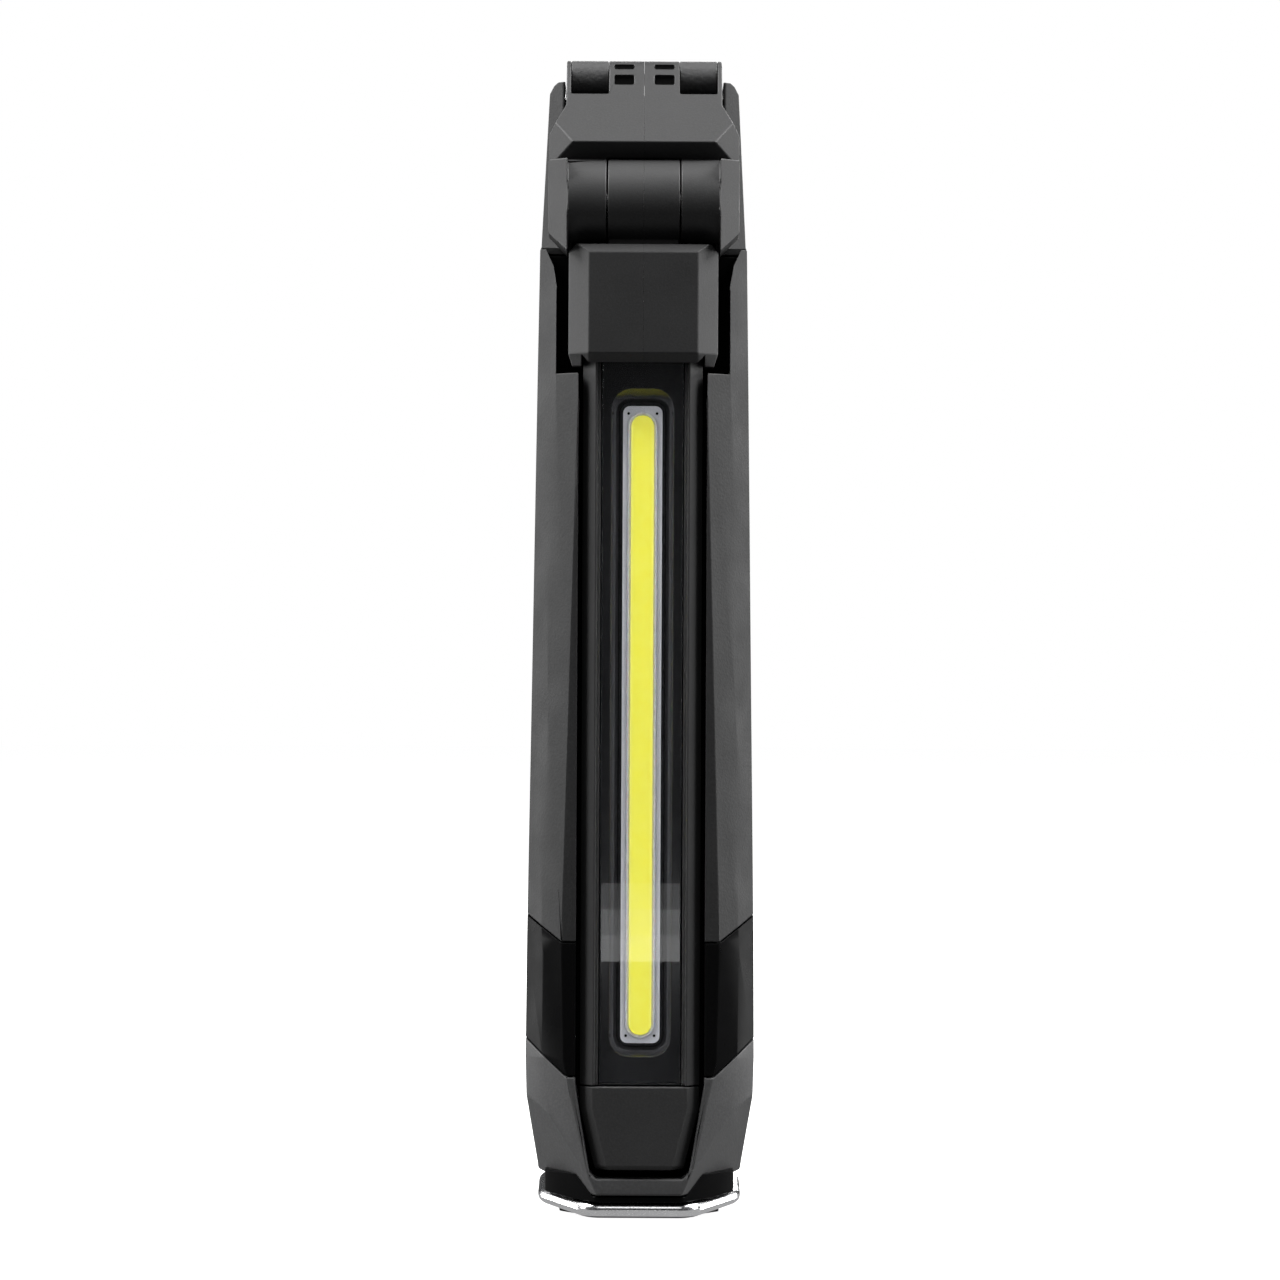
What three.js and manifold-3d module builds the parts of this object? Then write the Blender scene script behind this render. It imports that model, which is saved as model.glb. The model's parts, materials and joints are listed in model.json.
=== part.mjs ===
// Folding rechargeable work light.
//
// A long handle stands on a flat base.  A short link is hinged to the top of the handle, and a
// light blade is hinged to the link.  Folded, the blade lies in a channel in the handle's front.
// A steel bail under the base swings out as a hook.
//
// Millimetres.  +X is to the right, +Y to the rear, +Z up.  The origin is the centre of the
// flat bottom.  Every piece is drawn in its folded place.

import * as THREE from 'three';
import { mergeVertices } from 'three/addons/utils/BufferGeometryUtils.js';
import Module from 'manifold-3d';

const wasm = await Module();
wasm.setup();

// ---------------------------------------------------------------- driving dimensions

const GAP = 0.3; // clearance between touching pieces
const BEYOND = 40; // past the outside of every piece, for cutting bodies
const SIDES = [['left', -1], ['right', 1]];

// Handle
const HANDLE = { bottom: 4.9, top: 229.7, front: -18, rear: 19, split: 3 };
const WALL = 1.7; // moulded casing wall
const SKIN = 1.5; // rubber over the casing
const FOOT = { thickness: 2.6, floor: 10.8 }; // bumper
const HANDLE_HALF_WIDTH = [
  [4.9, 20.2], [10, 20.8], [24, 22.9], [32, 23.1], [56, 22.9], [104, 22.2],
  [170, 21.3], [196, 20.9], [219, 19.8], [228.6, 19.2], [229.7, 18.4],
];
const FRONT_FLAT_HALF_WIDTH = [[4.9, 9.3], [27, 14.2], [36, 16.2], [56, 15.8], [170, 12.8], [229.7, 12.8]];
const BEVEL_DEPTH = 9; // how far the front bevels run back
const REAR_RADIUS = 6;

// Room in the handle's front for the folded blade, its cap and the link
const CHANNEL = { halfWidth: 12.9, floor: -6.2, top: 171, taperFrom: 27, bottom: 8.2, bottomHalf: 9.4 };
const POCKET = { halfWidth: 17.4, topHalf: 19.7, flareFrom: 187, bottom: 169.7, top: 196, floor: -3.5 };
const DECK = { halfWidth: 16.1, z: 226.5 };

// Hinges: both axes run along X
const UPPER = { y: 1.2, z: 230.8, radius: 3.7, pin: 1.3 };
const LOWER = { y: -12.5, z: 204.5, radius: 8.4, pin: 2.2 };
const KNUCKLE = { inner: 7.4, outer: 14.7 };
const HINGE_GAP = 0.2; // end clearance between hinge knuckles

// Link
const LINK = {
  halfWidth: 19.2, cheek: 15.8, ear: 15.3, rear: -4.1,
  ledgeY: -16.1, ledgeZ: 216.2, earTop: 212.9, flankTop: 212.5,
};
const BARREL_HALF = 7.2;

// Cap and blade
const CAP = { halfWidth: 15, front: -21, rear: -4.4, bottom: 171, top: 195.4, bevel: 4.1 };
const BLADE = { halfWidth: 12, front: -18.6, rear: -7, bottom: 27, top: 185.5 };
const LENS = { halfWidth: 8.1, front: -19, rear: -17.6, bottom: 27.3, top: 184 };
const BOARD = { halfWidth: 3.95, front: -14.6, back: -13.6, bottom: 35.2, top: 163.2 };
const PHOSPHOR = { halfWidth: 2.3, bottom: 36.9, top: 161.3 };
const TIP = { bottom: 10, halfWidth: 8.8, taperFrom: 22.5 };

// Base and bail
const BASE = { halfWidth: 16.2, front: -12.6, rear: 16, frontTop: 7.8, top: 10.5 };
const BAIL = {
  wire: 1.6, pivotY: 12, pivotZ: 5.4, pivotHalf: 13.6,
  frontY: -15, frontZ: 1.7, frontHalf: 10, sideHalf: 19, sideY: -3.6,
};

// Batteries: two 18650 cells
const CELL = { radius: 9.1, length: 65, bottom: 62, y: 5.2, x: 9.25 };

// ---------------------------------------------------------------- finishes

const finish = (color, roughness, metalness = 0) =>
  new THREE.MeshStandardMaterial({ color, roughness, metalness });

const FINISH = {
  rubber: finish(0x3c3c3e, 0.75),
  casing: finish(0x131314, 0.35),
  moulded: finish(0x343436, 0.6),
  bracket: finish(0x4a4a4c, 0.6, 0.4),
  steel: finish(0xc9c9cc, 0.2, 1),
  aluminium: finish(0x9a9b9e, 0.35, 1),
  glossBlack: finish(0x0b0b0c, 0.12),
  lens: new THREE.MeshStandardMaterial({
    color: 0x8a8f94, roughness: 0.05, transparent: true, opacity: 0.25,
  }),
  board: finish(0xd2d3d5, 0.4),
  phosphor: finish(0xf6f45a, 0.5),
  circuit: finish(0x1d4a2c, 0.5),
  cell: finish(0x2b6fb5, 0.4),
  magnet: finish(0x8c8d90, 0.25, 1),
};

// ---------------------------------------------------------------- solids

// A closed geometry as a manifold solid: vertices merged, collapsed triangles dropped.
function solid(geometry) {
  const bare = geometry.clone();
  bare.deleteAttribute('normal');
  bare.deleteAttribute('uv');
  const welded = mergeVertices(bare, 1e-4);
  const corners = welded.index.array;
  const triangles = [];
  for (let i = 0; i < corners.length; i += 3) {
    const [a, b, c] = [corners[i], corners[i + 1], corners[i + 2]];
    if (a !== b && b !== c && c !== a) triangles.push(a, b, c);
  }
  return new wasm.Manifold(new wasm.Mesh({
    numProp: 3,
    vertProperties: new Float32Array(welded.attributes.position.array),
    triVerts: new Uint32Array(triangles),
  }));
}

function geometryOf(body) {
  const mesh = body.getMesh();
  const positions = new Float32Array(mesh.numVert * 3);
  for (let v = 0; v < mesh.numVert; v += 1) {
    for (let k = 0; k < 3; k += 1) positions[3 * v + k] = mesh.vertProperties[v * mesh.numProp + k];
  }
  const geometry = new THREE.BufferGeometry();
  geometry.setAttribute('position', new THREE.BufferAttribute(positions, 3));
  geometry.setIndex([...mesh.triVerts]);
  geometry.computeVertexNormals();
  return geometry;
}

const joined = (...bodies) => bodies.reduce((all, body) => all.add(body));
const cut = (body, ...tools) => tools.reduce((rest, tool) => rest.subtract(tool), body);

function block(x0, x1, y0, y1, z0, z1) {
  const geometry = new THREE.BoxGeometry(x1 - x0, y1 - y0, z1 - z0);
  geometry.translate((x0 + x1) / 2, (y0 + y1) / 2, (z0 + z1) / 2);
  return solid(geometry);
}

// Round bars along each axis.
function rodX(radius, x0, x1, y, z, sides = 24) {
  const geometry = new THREE.CylinderGeometry(radius, radius, x1 - x0, sides);
  geometry.rotateZ(-Math.PI / 2);
  geometry.translate((x0 + x1) / 2, y, z);
  return solid(geometry);
}

function rodY(radius, y0, y1, x, z, sides = 24) {
  const geometry = new THREE.CylinderGeometry(radius, radius, y1 - y0, sides);
  geometry.translate(x, (y0 + y1) / 2, z);
  return solid(geometry);
}

function rodZ(radius, z0, z1, x, y, sides = 24) {
  const geometry = new THREE.CylinderGeometry(radius, radius, z1 - z0, sides);
  geometry.rotateX(Math.PI / 2);
  geometry.translate(x, y, (z0 + z1) / 2);
  return solid(geometry);
}

const shapeOf = (points) => new THREE.Shape(points.map(([u, v]) => new THREE.Vector2(u, v)));

// An outline in plan, [x, y], extruded up.
function planPlate(points, z0, z1) {
  const geometry = new THREE.ExtrudeGeometry(shapeOf(points), { depth: z1 - z0, bevelEnabled: false });
  geometry.translate(0, 0, z0);
  return solid(geometry);
}

// An outline seen from the front, [x, z], extruded to the rear.
function frontPlate(points, y0, y1) {
  const geometry = new THREE.ExtrudeGeometry(shapeOf(points), { depth: y1 - y0, bevelEnabled: false });
  geometry.translate(0, 0, -y1);
  geometry.rotateX(Math.PI / 2);
  return solid(geometry);
}

// An outline seen from the right-hand side, [y, z], extruded along X.
function sidePlate(points, x0, x1) {
  const geometry = new THREE.ExtrudeGeometry(shapeOf(points), { depth: x1 - x0, bevelEnabled: false });
  const turn = new THREE.Matrix4().makeBasis(
    new THREE.Vector3(0, 1, 0), new THREE.Vector3(0, 0, 1), new THREE.Vector3(1, 0, 0),
  );
  geometry.applyMatrix4(turn);
  geometry.translate(x0, 0, 0);
  return solid(geometry);
}

// A loft up Z: a prism on a regular polygon, each of whose rings is then moved onto a section.
function loft(sections) {
  const count = sections[0].ring.length;
  const corner = (k) => {
    const angle = (2 * Math.PI * k) / count;
    return [Math.cos(angle), Math.sin(angle)];
  };
  const template = shapeOf(Array.from({ length: count }, (_, k) => corner(k)));
  const steps = sections.length - 1;
  const geometry = new THREE.ExtrudeGeometry(template, { depth: steps, steps, bevelEnabled: false });
  const position = geometry.attributes.position;
  for (let v = 0; v < position.count; v += 1) {
    const angle = Math.atan2(position.getY(v), position.getX(v));
    const k = (Math.round((angle * count) / (2 * Math.PI)) + count) % count;
    const section = sections[Math.round(position.getZ(v))];
    position.setXYZ(v, section.ring[k][0], section.ring[k][1], section.at);
  }
  return geometry;
}

const loftUp = (sections) => solid(loft(sections));

// The same loft from front to rear: rings are [x, z] and "at" is y, nearest first.
function loftBack(sections) {
  const geometry = loft([...sections].reverse().map(({ at, ring }) => ({ at: -at, ring })));
  geometry.rotateX(Math.PI / 2);
  return solid(geometry);
}

function arc(cx, cy, radius, fromDegrees, toDegrees, steps) {
  const points = [];
  for (let i = 0; i <= steps; i += 1) {
    const angle = THREE.MathUtils.degToRad(fromDegrees + ((toDegrees - fromDegrees) * i) / steps);
    points.push([cx + radius * Math.cos(angle), cy + radius * Math.sin(angle)]);
  }
  return points;
}

// An upright rectangle with round corners, centred on x = 0, counter-clockwise.
function roundRectangle(halfWidth, bottom, top, radius, steps = 4) {
  const x = halfWidth - radius;
  return [
    ...arc(x, bottom + radius, radius, -90, 0, steps),
    ...arc(x, top - radius, radius, 0, 90, steps),
    ...arc(-x, top - radius, radius, 90, 180, steps),
    ...arc(-x, bottom + radius, radius, 180, 270, steps),
  ];
}

function interpolate(table, at) {
  if (at <= table[0][0]) return table[0][1];
  for (let i = 1; i < table.length; i += 1) {
    const [[a, va], [b, vb]] = [table[i - 1], table[i]];
    if (at <= b) return va + ((vb - va) * (at - a)) / (b - a);
  }
  return table[table.length - 1][1];
}

// A mirrored outline: the right-hand half, from bottom to top, and its reflection.
const mirrored = (half) => [...half, ...[...half].reverse().map(([x, v]) => [-x, v])];

// ---------------------------------------------------------------- the scene graph

const group = new THREE.Group();
const handle = new THREE.Group();
const link = new THREE.Group();
const blade = new THREE.Group();
group.add(handle, link, blade);

function piece(parent, name, body, material) {
  const mesh = new THREE.Mesh(geometryOf(body), material);
  mesh.name = name;
  parent.add(mesh);
}

// ---------------------------------------------------------------- handle forms

// A plan section of the handle at height z, drawn in by "inset" all round.
function handleSection(z, inset, endInset = 0) {
  const w = interpolate(HANDLE_HALF_WIDTH, z) - inset - endInset;
  const flat = interpolate(FRONT_FLAT_HALF_WIDTH, z) - 0.4 * inset;
  const front = HANDLE.front + inset;
  const rear = HANDLE.rear - inset - endInset;
  const middle = [(flat + w) / 2 + 0.5, front + BEVEL_DEPTH / 2 - 0.5];
  const half = [
    [flat, front], middle, [w, front + BEVEL_DEPTH],
    ...arc(w - REAR_RADIUS, rear - REAR_RADIUS, REAR_RADIUS, 0, 90, 4),
  ];
  return { at: z, ring: mirrored(half) };
}

function handleForm(inset) {
  const heights = [10, 24, 32, 56, 104, 170, 196, 219, 227.5, 229, 229.7];
  const bottom = HANDLE.bottom;
  const top = HANDLE.top - inset;
  const inside = heights.filter((z) => z > bottom && z < top);
  const rounding = (z) => (z > 228 - inset ? (z - 228 + inset) * 0.5 : 0);
  return loftUp([bottom, ...inside, top].map((z) => handleSection(z, inset, rounding(z))));
}

// Front view of the channel that the blade lies in.
function channelOutline(grow) {
  return mirrored([
    [CHANNEL.bottomHalf - 0.8 + grow, CHANNEL.bottom - grow],
    [CHANNEL.bottomHalf + 0.6 + grow, CHANNEL.bottom + 1.4],
    [CHANNEL.halfWidth + grow, CHANNEL.taperFrom],
    [CHANNEL.halfWidth + grow, CHANNEL.top + 1],
  ]);
}

const IN_FRONT = HANDLE.front - 10;

function bladeRoom(grow) {
  const channel = frontPlate(channelOutline(grow), IN_FRONT, CHANNEL.floor + grow);
  const pocket = frontPlate(mirrored([
    [POCKET.halfWidth + grow, POCKET.bottom - grow],
    [POCKET.halfWidth + grow, POCKET.flareFrom],
    [POCKET.halfWidth + 0.7 + grow, POCKET.flareFrom + 4.5],
    [POCKET.topHalf + grow, POCKET.top - 1],
    [30, POCKET.top],
    [30, HANDLE.top + 5],
  ]), IN_FRONT, POCKET.floor + grow);
  return joined(channel, pocket);
}

// Room over the top deck for the link's upper end, with the deck's front edge bevelled.
function deckRoom(grow) {
  const deck = block(-DECK.halfWidth - grow, DECK.halfWidth + grow, -30, 30, DECK.z - grow, 250);
  const nose = sidePlate([
    [POCKET.floor - 5 + grow, DECK.z - 8.5 - grow],
    [0.5 + grow, DECK.z + 0.5 - grow],
    [-10, DECK.z + 0.5],
  ], -DECK.halfWidth - grow, DECK.halfWidth + grow);
  return joined(deck, nose);
}

const above = (z) => block(-BEYOND, BEYOND, -BEYOND, BEYOND, z, 300);
const below = (z) => block(-BEYOND, BEYOND, -BEYOND, BEYOND, -BEYOND, z);
const behind = (y) => block(-BEYOND, BEYOND, y, BEYOND, -1, 300);

// The underside of the handle rises from the middle to the sides.
const underside = frontPlate(mirrored([
  [BEYOND, -1], [BEYOND, 10.8], [20.6, 8.2], [9.6, HANDLE.bottom],
]), -BEYOND, BEYOND);

// Beside the link the handle's front corners are bevelled at 45 degrees.
const SHOULDER = { halfWidth: 16.6, reach: 10 };
function shoulderBevel(sign, grow) {
  const front = POCKET.floor - SHOULDER.reach + grow * Math.SQRT2;
  const inner = SHOULDER.halfWidth - SHOULDER.reach;
  const outer = inner + 2 * SHOULDER.reach;
  const outline = [[inner, front], [outer, front], [outer, front + 2 * SHOULDER.reach]];
  return planPlate(outline.map(([x, y]) => [sign * x, y]), POCKET.top - grow, HANDLE.top + 5);
}

// Each lower front corner of the foot has a facet that turns down and outwards.
function footFacet(sign, grow) {
  const outward = new THREE.Vector3(sign * 0.8, -0.47, -0.37).normalize();
  const through = new THREE.Vector3(sign * 10.4, HANDLE.front + 0.4, 8.6).addScaledVector(outward, -grow);
  const geometry = new THREE.BoxGeometry(60, 60, 60);
  geometry.translate(0, 0, 30);
  geometry.applyQuaternion(new THREE.Quaternion().setFromUnitVectors(new THREE.Vector3(0, 0, 1), outward));
  geometry.translate(through.x, through.y, through.z);
  return solid(geometry);
}
const trims = (grow) => SIDES.flatMap(([, sign]) => [shoulderBevel(sign, grow), footFacet(sign, grow)]);
const trimmedForm = (inset) => cut(handleForm(inset), ...trims(inset));

const outerForm = cut(trimmedForm(0), underside);
const room = bladeRoom(0);
const deck = deckRoom(0);

// ---------------------------------------------------------------- rubber skins

const GRIP = { side: 60.8, front: 55.8, frontX: 15.8, top: 232, rear: 12 };
const BUMPER = { outerTop: 41.6, kinkX: 14.8, kinkZ: 28.6, rearTop: 30 };

// Each grip runs from the channel's edge round the handle's side to the rear.
function gripZone(sign, grow) {
  const outline = [
    [12.7 - grow, GRIP.front - grow], [GRIP.frontX, GRIP.front - grow], [26, GRIP.side + 2.3 - grow],
    [26, GRIP.top], [12.7 - grow, GRIP.top],
  ].map(([x, z]) => [sign * x, z]);
  return frontPlate(outline, -30, GRIP.rear + grow);
}

// The bumper wraps the handle's foot, and its front edge dips to a notch for the blade's tip.
function bumperZone(grow) {
  const front = frontPlate(mirrored([
    [30, -1], [30, BUMPER.outerTop + grow], [BUMPER.kinkX, BUMPER.kinkZ + grow],
  ]), -30, 4);
  return joined(front, block(-30, 30, 4, 30, -1, BUMPER.rearTop + grow));
}

for (const [side, sign] of SIDES) {
  const grip = cut(outerForm.intersect(gripZone(sign, 0)), trimmedForm(SKIN), room, deck);
  piece(handle, `grip_${side}`, grip, FINISH.rubber);
}

// Plan outline of the base block, with corners cut back for the bail.
const baseOutline = (grow) => mirrored([
  [9 + grow, BASE.front - grow], [BASE.halfWidth + grow, -3.6], [BASE.halfWidth + grow, BASE.rear + grow],
]);

const baseHole = planPlate(baseOutline(GAP), -1, FOOT.floor + 1);
const bumperCore = trimmedForm(FOOT.thickness).intersect(above(FOOT.floor));
const frontBar = block(-14, 14, HANDLE.front - 1, BASE.front - GAP, 0, CHANNEL.bottom);
const bumperRing = cut(outerForm.intersect(bumperZone(0)), bumperCore, room, baseHole);
piece(handle, 'bumper', joined(bumperRing, cut(outerForm.intersect(frontBar), baseHole)), FINISH.rubber);

// ---------------------------------------------------------------- casing

const SHELL_SCREWS = [
  ['lower_left', -16.6, 46], ['lower_right', 16.6, 46],
  ['upper_left', -13.6, 203], ['upper_right', 13.6, 203],
];
const SCREW = { headRadius: 2.4, head: 1.6, shank: 1.2, socket: 1.1, socketDepth: 0.9, sunk: 1.4, boss: 3 };
const REAR_MAGNET = { radius: 9, z: 192, inner: 14.6, rear: 17.4 };
const MAGNET_COVER = { radius: 12, neck: 10.5, inner: 17.7, flange: 19.3, rear: 21 };
const BUTTON = { halfWidth: 5, z: 158, halfHeight: 7 };
const FLANGE = { reach: 1.2, rear: 15.1 }; // holds a control in from behind the wall
const GAUGE = { halfWidth: 1.6, z: 141, halfHeight: 5 };
const PORT = { halfWidth: 4.6, z: 43, halfHeight: 1.8 };
const PORT_COVER = { halfWidth: 8, z: 43, halfHeight: 7, front: 17.1, rear: 18.9 };

const casingForm = joined(
  cut(outerForm, gripZone(-1, GAP), gripZone(1, GAP), bumperZone(GAP)),
  cut(trimmedForm(SKIN + GAP), bumperZone(GAP)),
  trimmedForm(FOOT.thickness + GAP).intersect(above(FOOT.floor + GAP)).intersect(below(100)),
);
const cavity = cut(
  joined(
    trimmedForm(SKIN + GAP + WALL).intersect(above(44)),
    trimmedForm(FOOT.thickness + GAP + WALL).intersect(above(FOOT.floor + GAP + WALL)).intersect(below(45)),
  ),
  bladeRoom(WALL),
  deckRoom(WALL),
);

const bosses = SHELL_SCREWS.map(([, x, z]) => rodY(SCREW.boss, -16, HANDLE.rear, x, z, 16));
const bossInside = joined(...bosses).intersect(trimmedForm(SKIN + GAP));
const casing = joined(cut(casingForm, cavity), bossInside);
const openCasing = cut(casing, room, deck);

const frontHalf = block(-BEYOND, BEYOND, -BEYOND, HANDLE.split, -1, 300);
const rearHalf = behind(HANDLE.split + GAP);
const screwHoles = SHELL_SCREWS.map(([, x, z]) => rodY(SCREW.shank + GAP, -1.2, BEYOND, x, z, 12));
const screwSeat = HANDLE.rear - SCREW.sunk - SCREW.head - 0.2;
const screwHeads = SHELL_SCREWS.map(
  ([, x, z]) => rodY(SCREW.headRadius + GAP, screwSeat, BEYOND, x, z, 16),
);

const BASE_SCREW = { x: 12, y: 9, head: 0.8, tip: 17 };
const BRACKET_SCREW = { x: 11, y: 10.8, tip: 219 };
// One round bar on each side of the middle, standing along Z.
const pairZ = (radius, z0, z1, { x, y }, sides) =>
  SIDES.map(([, sign]) => rodZ(radius, z0, z1, sign * x, y, sides));
const baseScrewHoles = pairZ(SCREW.shank + GAP, -1, 20, BASE_SCREW, 12);
const bracketScrewHoles = pairZ(SCREW.shank + GAP, 216, 240, BRACKET_SCREW, 12);

const frontShell = cut(openCasing.intersect(frontHalf), ...screwHoles, ...baseScrewHoles);
piece(handle, 'front_shell', frontShell, FINISH.casing);

// A block through the rear wall, the size of a control that sits in it.
const slot = (part, from, grow, to = BEYOND) => block(
  -part.halfWidth - grow, part.halfWidth + grow, from, to,
  part.z - part.halfHeight - grow, part.z + part.halfHeight + grow,
);
const deckPosts = joined(...pairZ(SCREW.boss, 217, DECK.z, BRACKET_SCREW, 16));
const basePosts = joined(...pairZ(SCREW.boss, FOOT.floor + GAP, 20, BASE_SCREW, 16));
const magnetSeat = rodY(REAR_MAGNET.radius + WALL, REAR_MAGNET.inner - WALL, 17, 0, REAR_MAGNET.z, 32);
const rearShell = cut(
  joined(openCasing, deckPosts, basePosts, magnetSeat).intersect(rearHalf),
  ...screwHoles,
  ...screwHeads,
  ...baseScrewHoles,
  ...bracketScrewHoles,
  rodY(REAR_MAGNET.radius + GAP, REAR_MAGNET.inner - GAP, BEYOND, 0, REAR_MAGNET.z, 32),
  rodY(MAGNET_COVER.neck + GAP, MAGNET_COVER.inner - 0.1, BEYOND, 0, REAR_MAGNET.z, 32),
  slot(BUTTON, 10, GAP),
  slot(GAUGE, 10, GAP),
  slot(PORT, 10, GAP),
  slot(PORT_COVER, PORT_COVER.front - 0.1, GAP),
);
piece(handle, 'rear_shell', rearShell, FINISH.casing);

// A screw whose head is at "head" and whose tip is at "tip" along Y.
const span = (a, b) => [Math.min(a, b), Math.max(a, b)];
function screwY(x, z, head, tip) {
  const inward = Math.sign(tip - head);
  const shankSpan = span(head, tip);
  const headSpan = span(head, head + inward * SCREW.head);
  const body = joined(
    rodY(SCREW.shank, ...shankSpan, x, z, 10),
    rodY(SCREW.headRadius, ...headSpan, x, z, 16),
  );
  const socketSpan = span(head - inward, head + inward * SCREW.socketDepth);
  return cut(body, rodY(SCREW.socket, ...socketSpan, x, z, 6));
}

// The same screw standing along Z.
function screwZ(x, y, head, tip) {
  const inward = Math.sign(tip - head);
  const body = joined(
    rodZ(SCREW.shank, ...span(head, tip), x, y, 10),
    rodZ(SCREW.headRadius, ...span(head, head + inward * SCREW.head), x, y, 16),
  );
  const socketSpan = span(head - inward, head + inward * SCREW.socketDepth);
  return cut(body, rodZ(SCREW.socket, ...socketSpan, x, y, 6));
}

for (const [corner, x, z] of SHELL_SCREWS) {
  piece(handle, `shell_screw_${corner}`, screwY(x, z, HANDLE.rear - SCREW.sunk, -1), FINISH.steel);
}

// ---------------------------------------------------------------- base

const BASE_MAGNET = { radius: 9, top: 4, y: 2 };
const baseBlock = joined(
  planPlate(baseOutline(0), 0, BASE.frontTop),
  planPlate(baseOutline(0), 0, BASE.top).intersect(behind(CHANNEL.floor + GAP)),
);
// A thin skirt fills the room between the bumper's underside and the bail.
const bailHeight = (y) => BAIL.frontZ
  + ((BAIL.pivotZ - BAIL.frontZ) * (y - BAIL.frontY)) / (BAIL.pivotY - BAIL.frontY);
const overBail = BAIL.wire + GAP;
const skirt = cut(
  planPlate(handleSection(HANDLE.bottom, 1.1).ring, 1, 9).intersect(sidePlate([
    [-30, bailHeight(-30) + overBail], [16, bailHeight(16) + overBail], [16, 20], [-30, 20],
  ], -30, 30)),
  outerForm.translate([0, 0, -GAP]),
);
const baseCore = cut(
  joined(baseBlock, skirt),
  rodZ(BASE_MAGNET.radius + GAP, -1, BASE_MAGNET.top + GAP, 0, BASE_MAGNET.y, 32),
  rodX(BAIL.wire + GAP, -BEYOND, -BAIL.pivotHalf + 1, BAIL.pivotY, BAIL.pivotZ, 16),
  rodX(BAIL.wire + GAP, BAIL.pivotHalf - 1, BEYOND, BAIL.pivotY, BAIL.pivotZ, 16),
  ...pairZ(SCREW.headRadius + GAP, -1, BASE_SCREW.head + SCREW.head + 0.2, BASE_SCREW, 16),
  ...baseScrewHoles,
);
piece(handle, 'base_block', baseCore, FINISH.casing);
const baseMagnet = rodZ(BASE_MAGNET.radius, 0, BASE_MAGNET.top, 0, BASE_MAGNET.y, 32);
piece(handle, 'base_magnet', baseMagnet, FINISH.magnet);
for (const [side, sign] of SIDES) {
  const screw = screwZ(sign * BASE_SCREW.x, BASE_SCREW.y, BASE_SCREW.head, BASE_SCREW.tip);
  piece(handle, `base_screw_${side}`, screw, FINISH.steel);
}

// ---------------------------------------------------------------- upper hinge bracket

const BRACKET = { plateTop: 228.2, front: 6.6, back: 8, rear: 14, halfWidth: 14.6 };
const plateBottom = DECK.z + 0.1;
const knuckle = (x0, x1) => joined(
  rodX(UPPER.radius, x0, x1, UPPER.y, UPPER.z, 40),
  sidePlate([
    [UPPER.y, plateBottom], [BRACKET.back, plateBottom], [BRACKET.back, BRACKET.plateTop - 0.2],
    [UPPER.y + UPPER.radius, BRACKET.plateTop + 1.6], [UPPER.y + 3, UPPER.z], [UPPER.y, UPPER.z],
  ], x0, x1),
);
const bracketPlate = block(
  -BRACKET.halfWidth, BRACKET.halfWidth, BRACKET.front, BRACKET.rear, plateBottom, BRACKET.plateTop,
);
const bracket = cut(
  joined(bracketPlate, knuckle(KNUCKLE.inner, KNUCKLE.outer), knuckle(-KNUCKLE.outer, -KNUCKLE.inner)),
  rodX(UPPER.pin + GAP, -30, 30, UPPER.y, UPPER.z),
  ...bracketScrewHoles,
);
piece(handle, 'hinge_bracket', bracket, FINISH.bracket);
piece(handle, 'upper_hinge_pin', rodX(UPPER.pin, -15.1, 15.1, UPPER.y, UPPER.z, 16), FINISH.steel);
for (const [side, sign] of SIDES) {
  const head = BRACKET.plateTop + SCREW.head + 0.1;
  const screw = screwZ(sign * BRACKET_SCREW.x, BRACKET_SCREW.y, head, BRACKET_SCREW.tip);
  piece(handle, `bracket_screw_${side}`, screw, FINISH.steel);
}

// ---------------------------------------------------------------- inside the handle

for (const [side, sign] of SIDES) {
  const cell = joined(
    rodZ(CELL.radius, CELL.bottom, CELL.bottom + CELL.length - 1, sign * CELL.x, CELL.y, 28),
    rodZ(2.8, CELL.bottom + CELL.length - 1.5, CELL.bottom + CELL.length, sign * CELL.x, CELL.y, 16),
  );
  piece(handle, `battery_cell_${side}`, cell, FINISH.cell);
}

const TRAY = { halfWidth: 15.5, floor: 2 };
const trayEnd = (z) => block(-TRAY.halfWidth, TRAY.halfWidth, -3.6, 13.5, z, z + TRAY.floor);
const tray = joined(
  trayEnd(CELL.bottom - GAP - TRAY.floor),
  trayEnd(CELL.bottom + CELL.length + GAP),
  block(-1.6, 1.6, 11.2, 13.5, CELL.bottom - 1, CELL.bottom + CELL.length + 1),
);
piece(handle, 'battery_tray', tray, FINISH.casing);

const CIRCUIT = { halfWidth: 13, bottom: 133, top: 176, front: 8.6, rear: 10 };
const circuit = block(
  -CIRCUIT.halfWidth, CIRCUIT.halfWidth, CIRCUIT.front, CIRCUIT.rear, CIRCUIT.bottom, CIRCUIT.top,
);
piece(handle, 'main_circuit_board', circuit, FINISH.circuit);
const switchBody = joined(
  block(-3, 3, CIRCUIT.rear + 0.1, 13.2, BUTTON.z - 3, BUTTON.z + 3),
  rodY(1.7, 13, 13.8, 0, BUTTON.z, 16),
);
piece(handle, 'tactile_switch', switchBody, FINISH.casing);
piece(handle, 'charge_gauge_lens', joined(
  slot(GAUGE, 11, 0, HANDLE.rear - 0.1),
  slot(GAUGE, 11, FLANGE.reach, FLANGE.rear),
), FINISH.lens);

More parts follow.
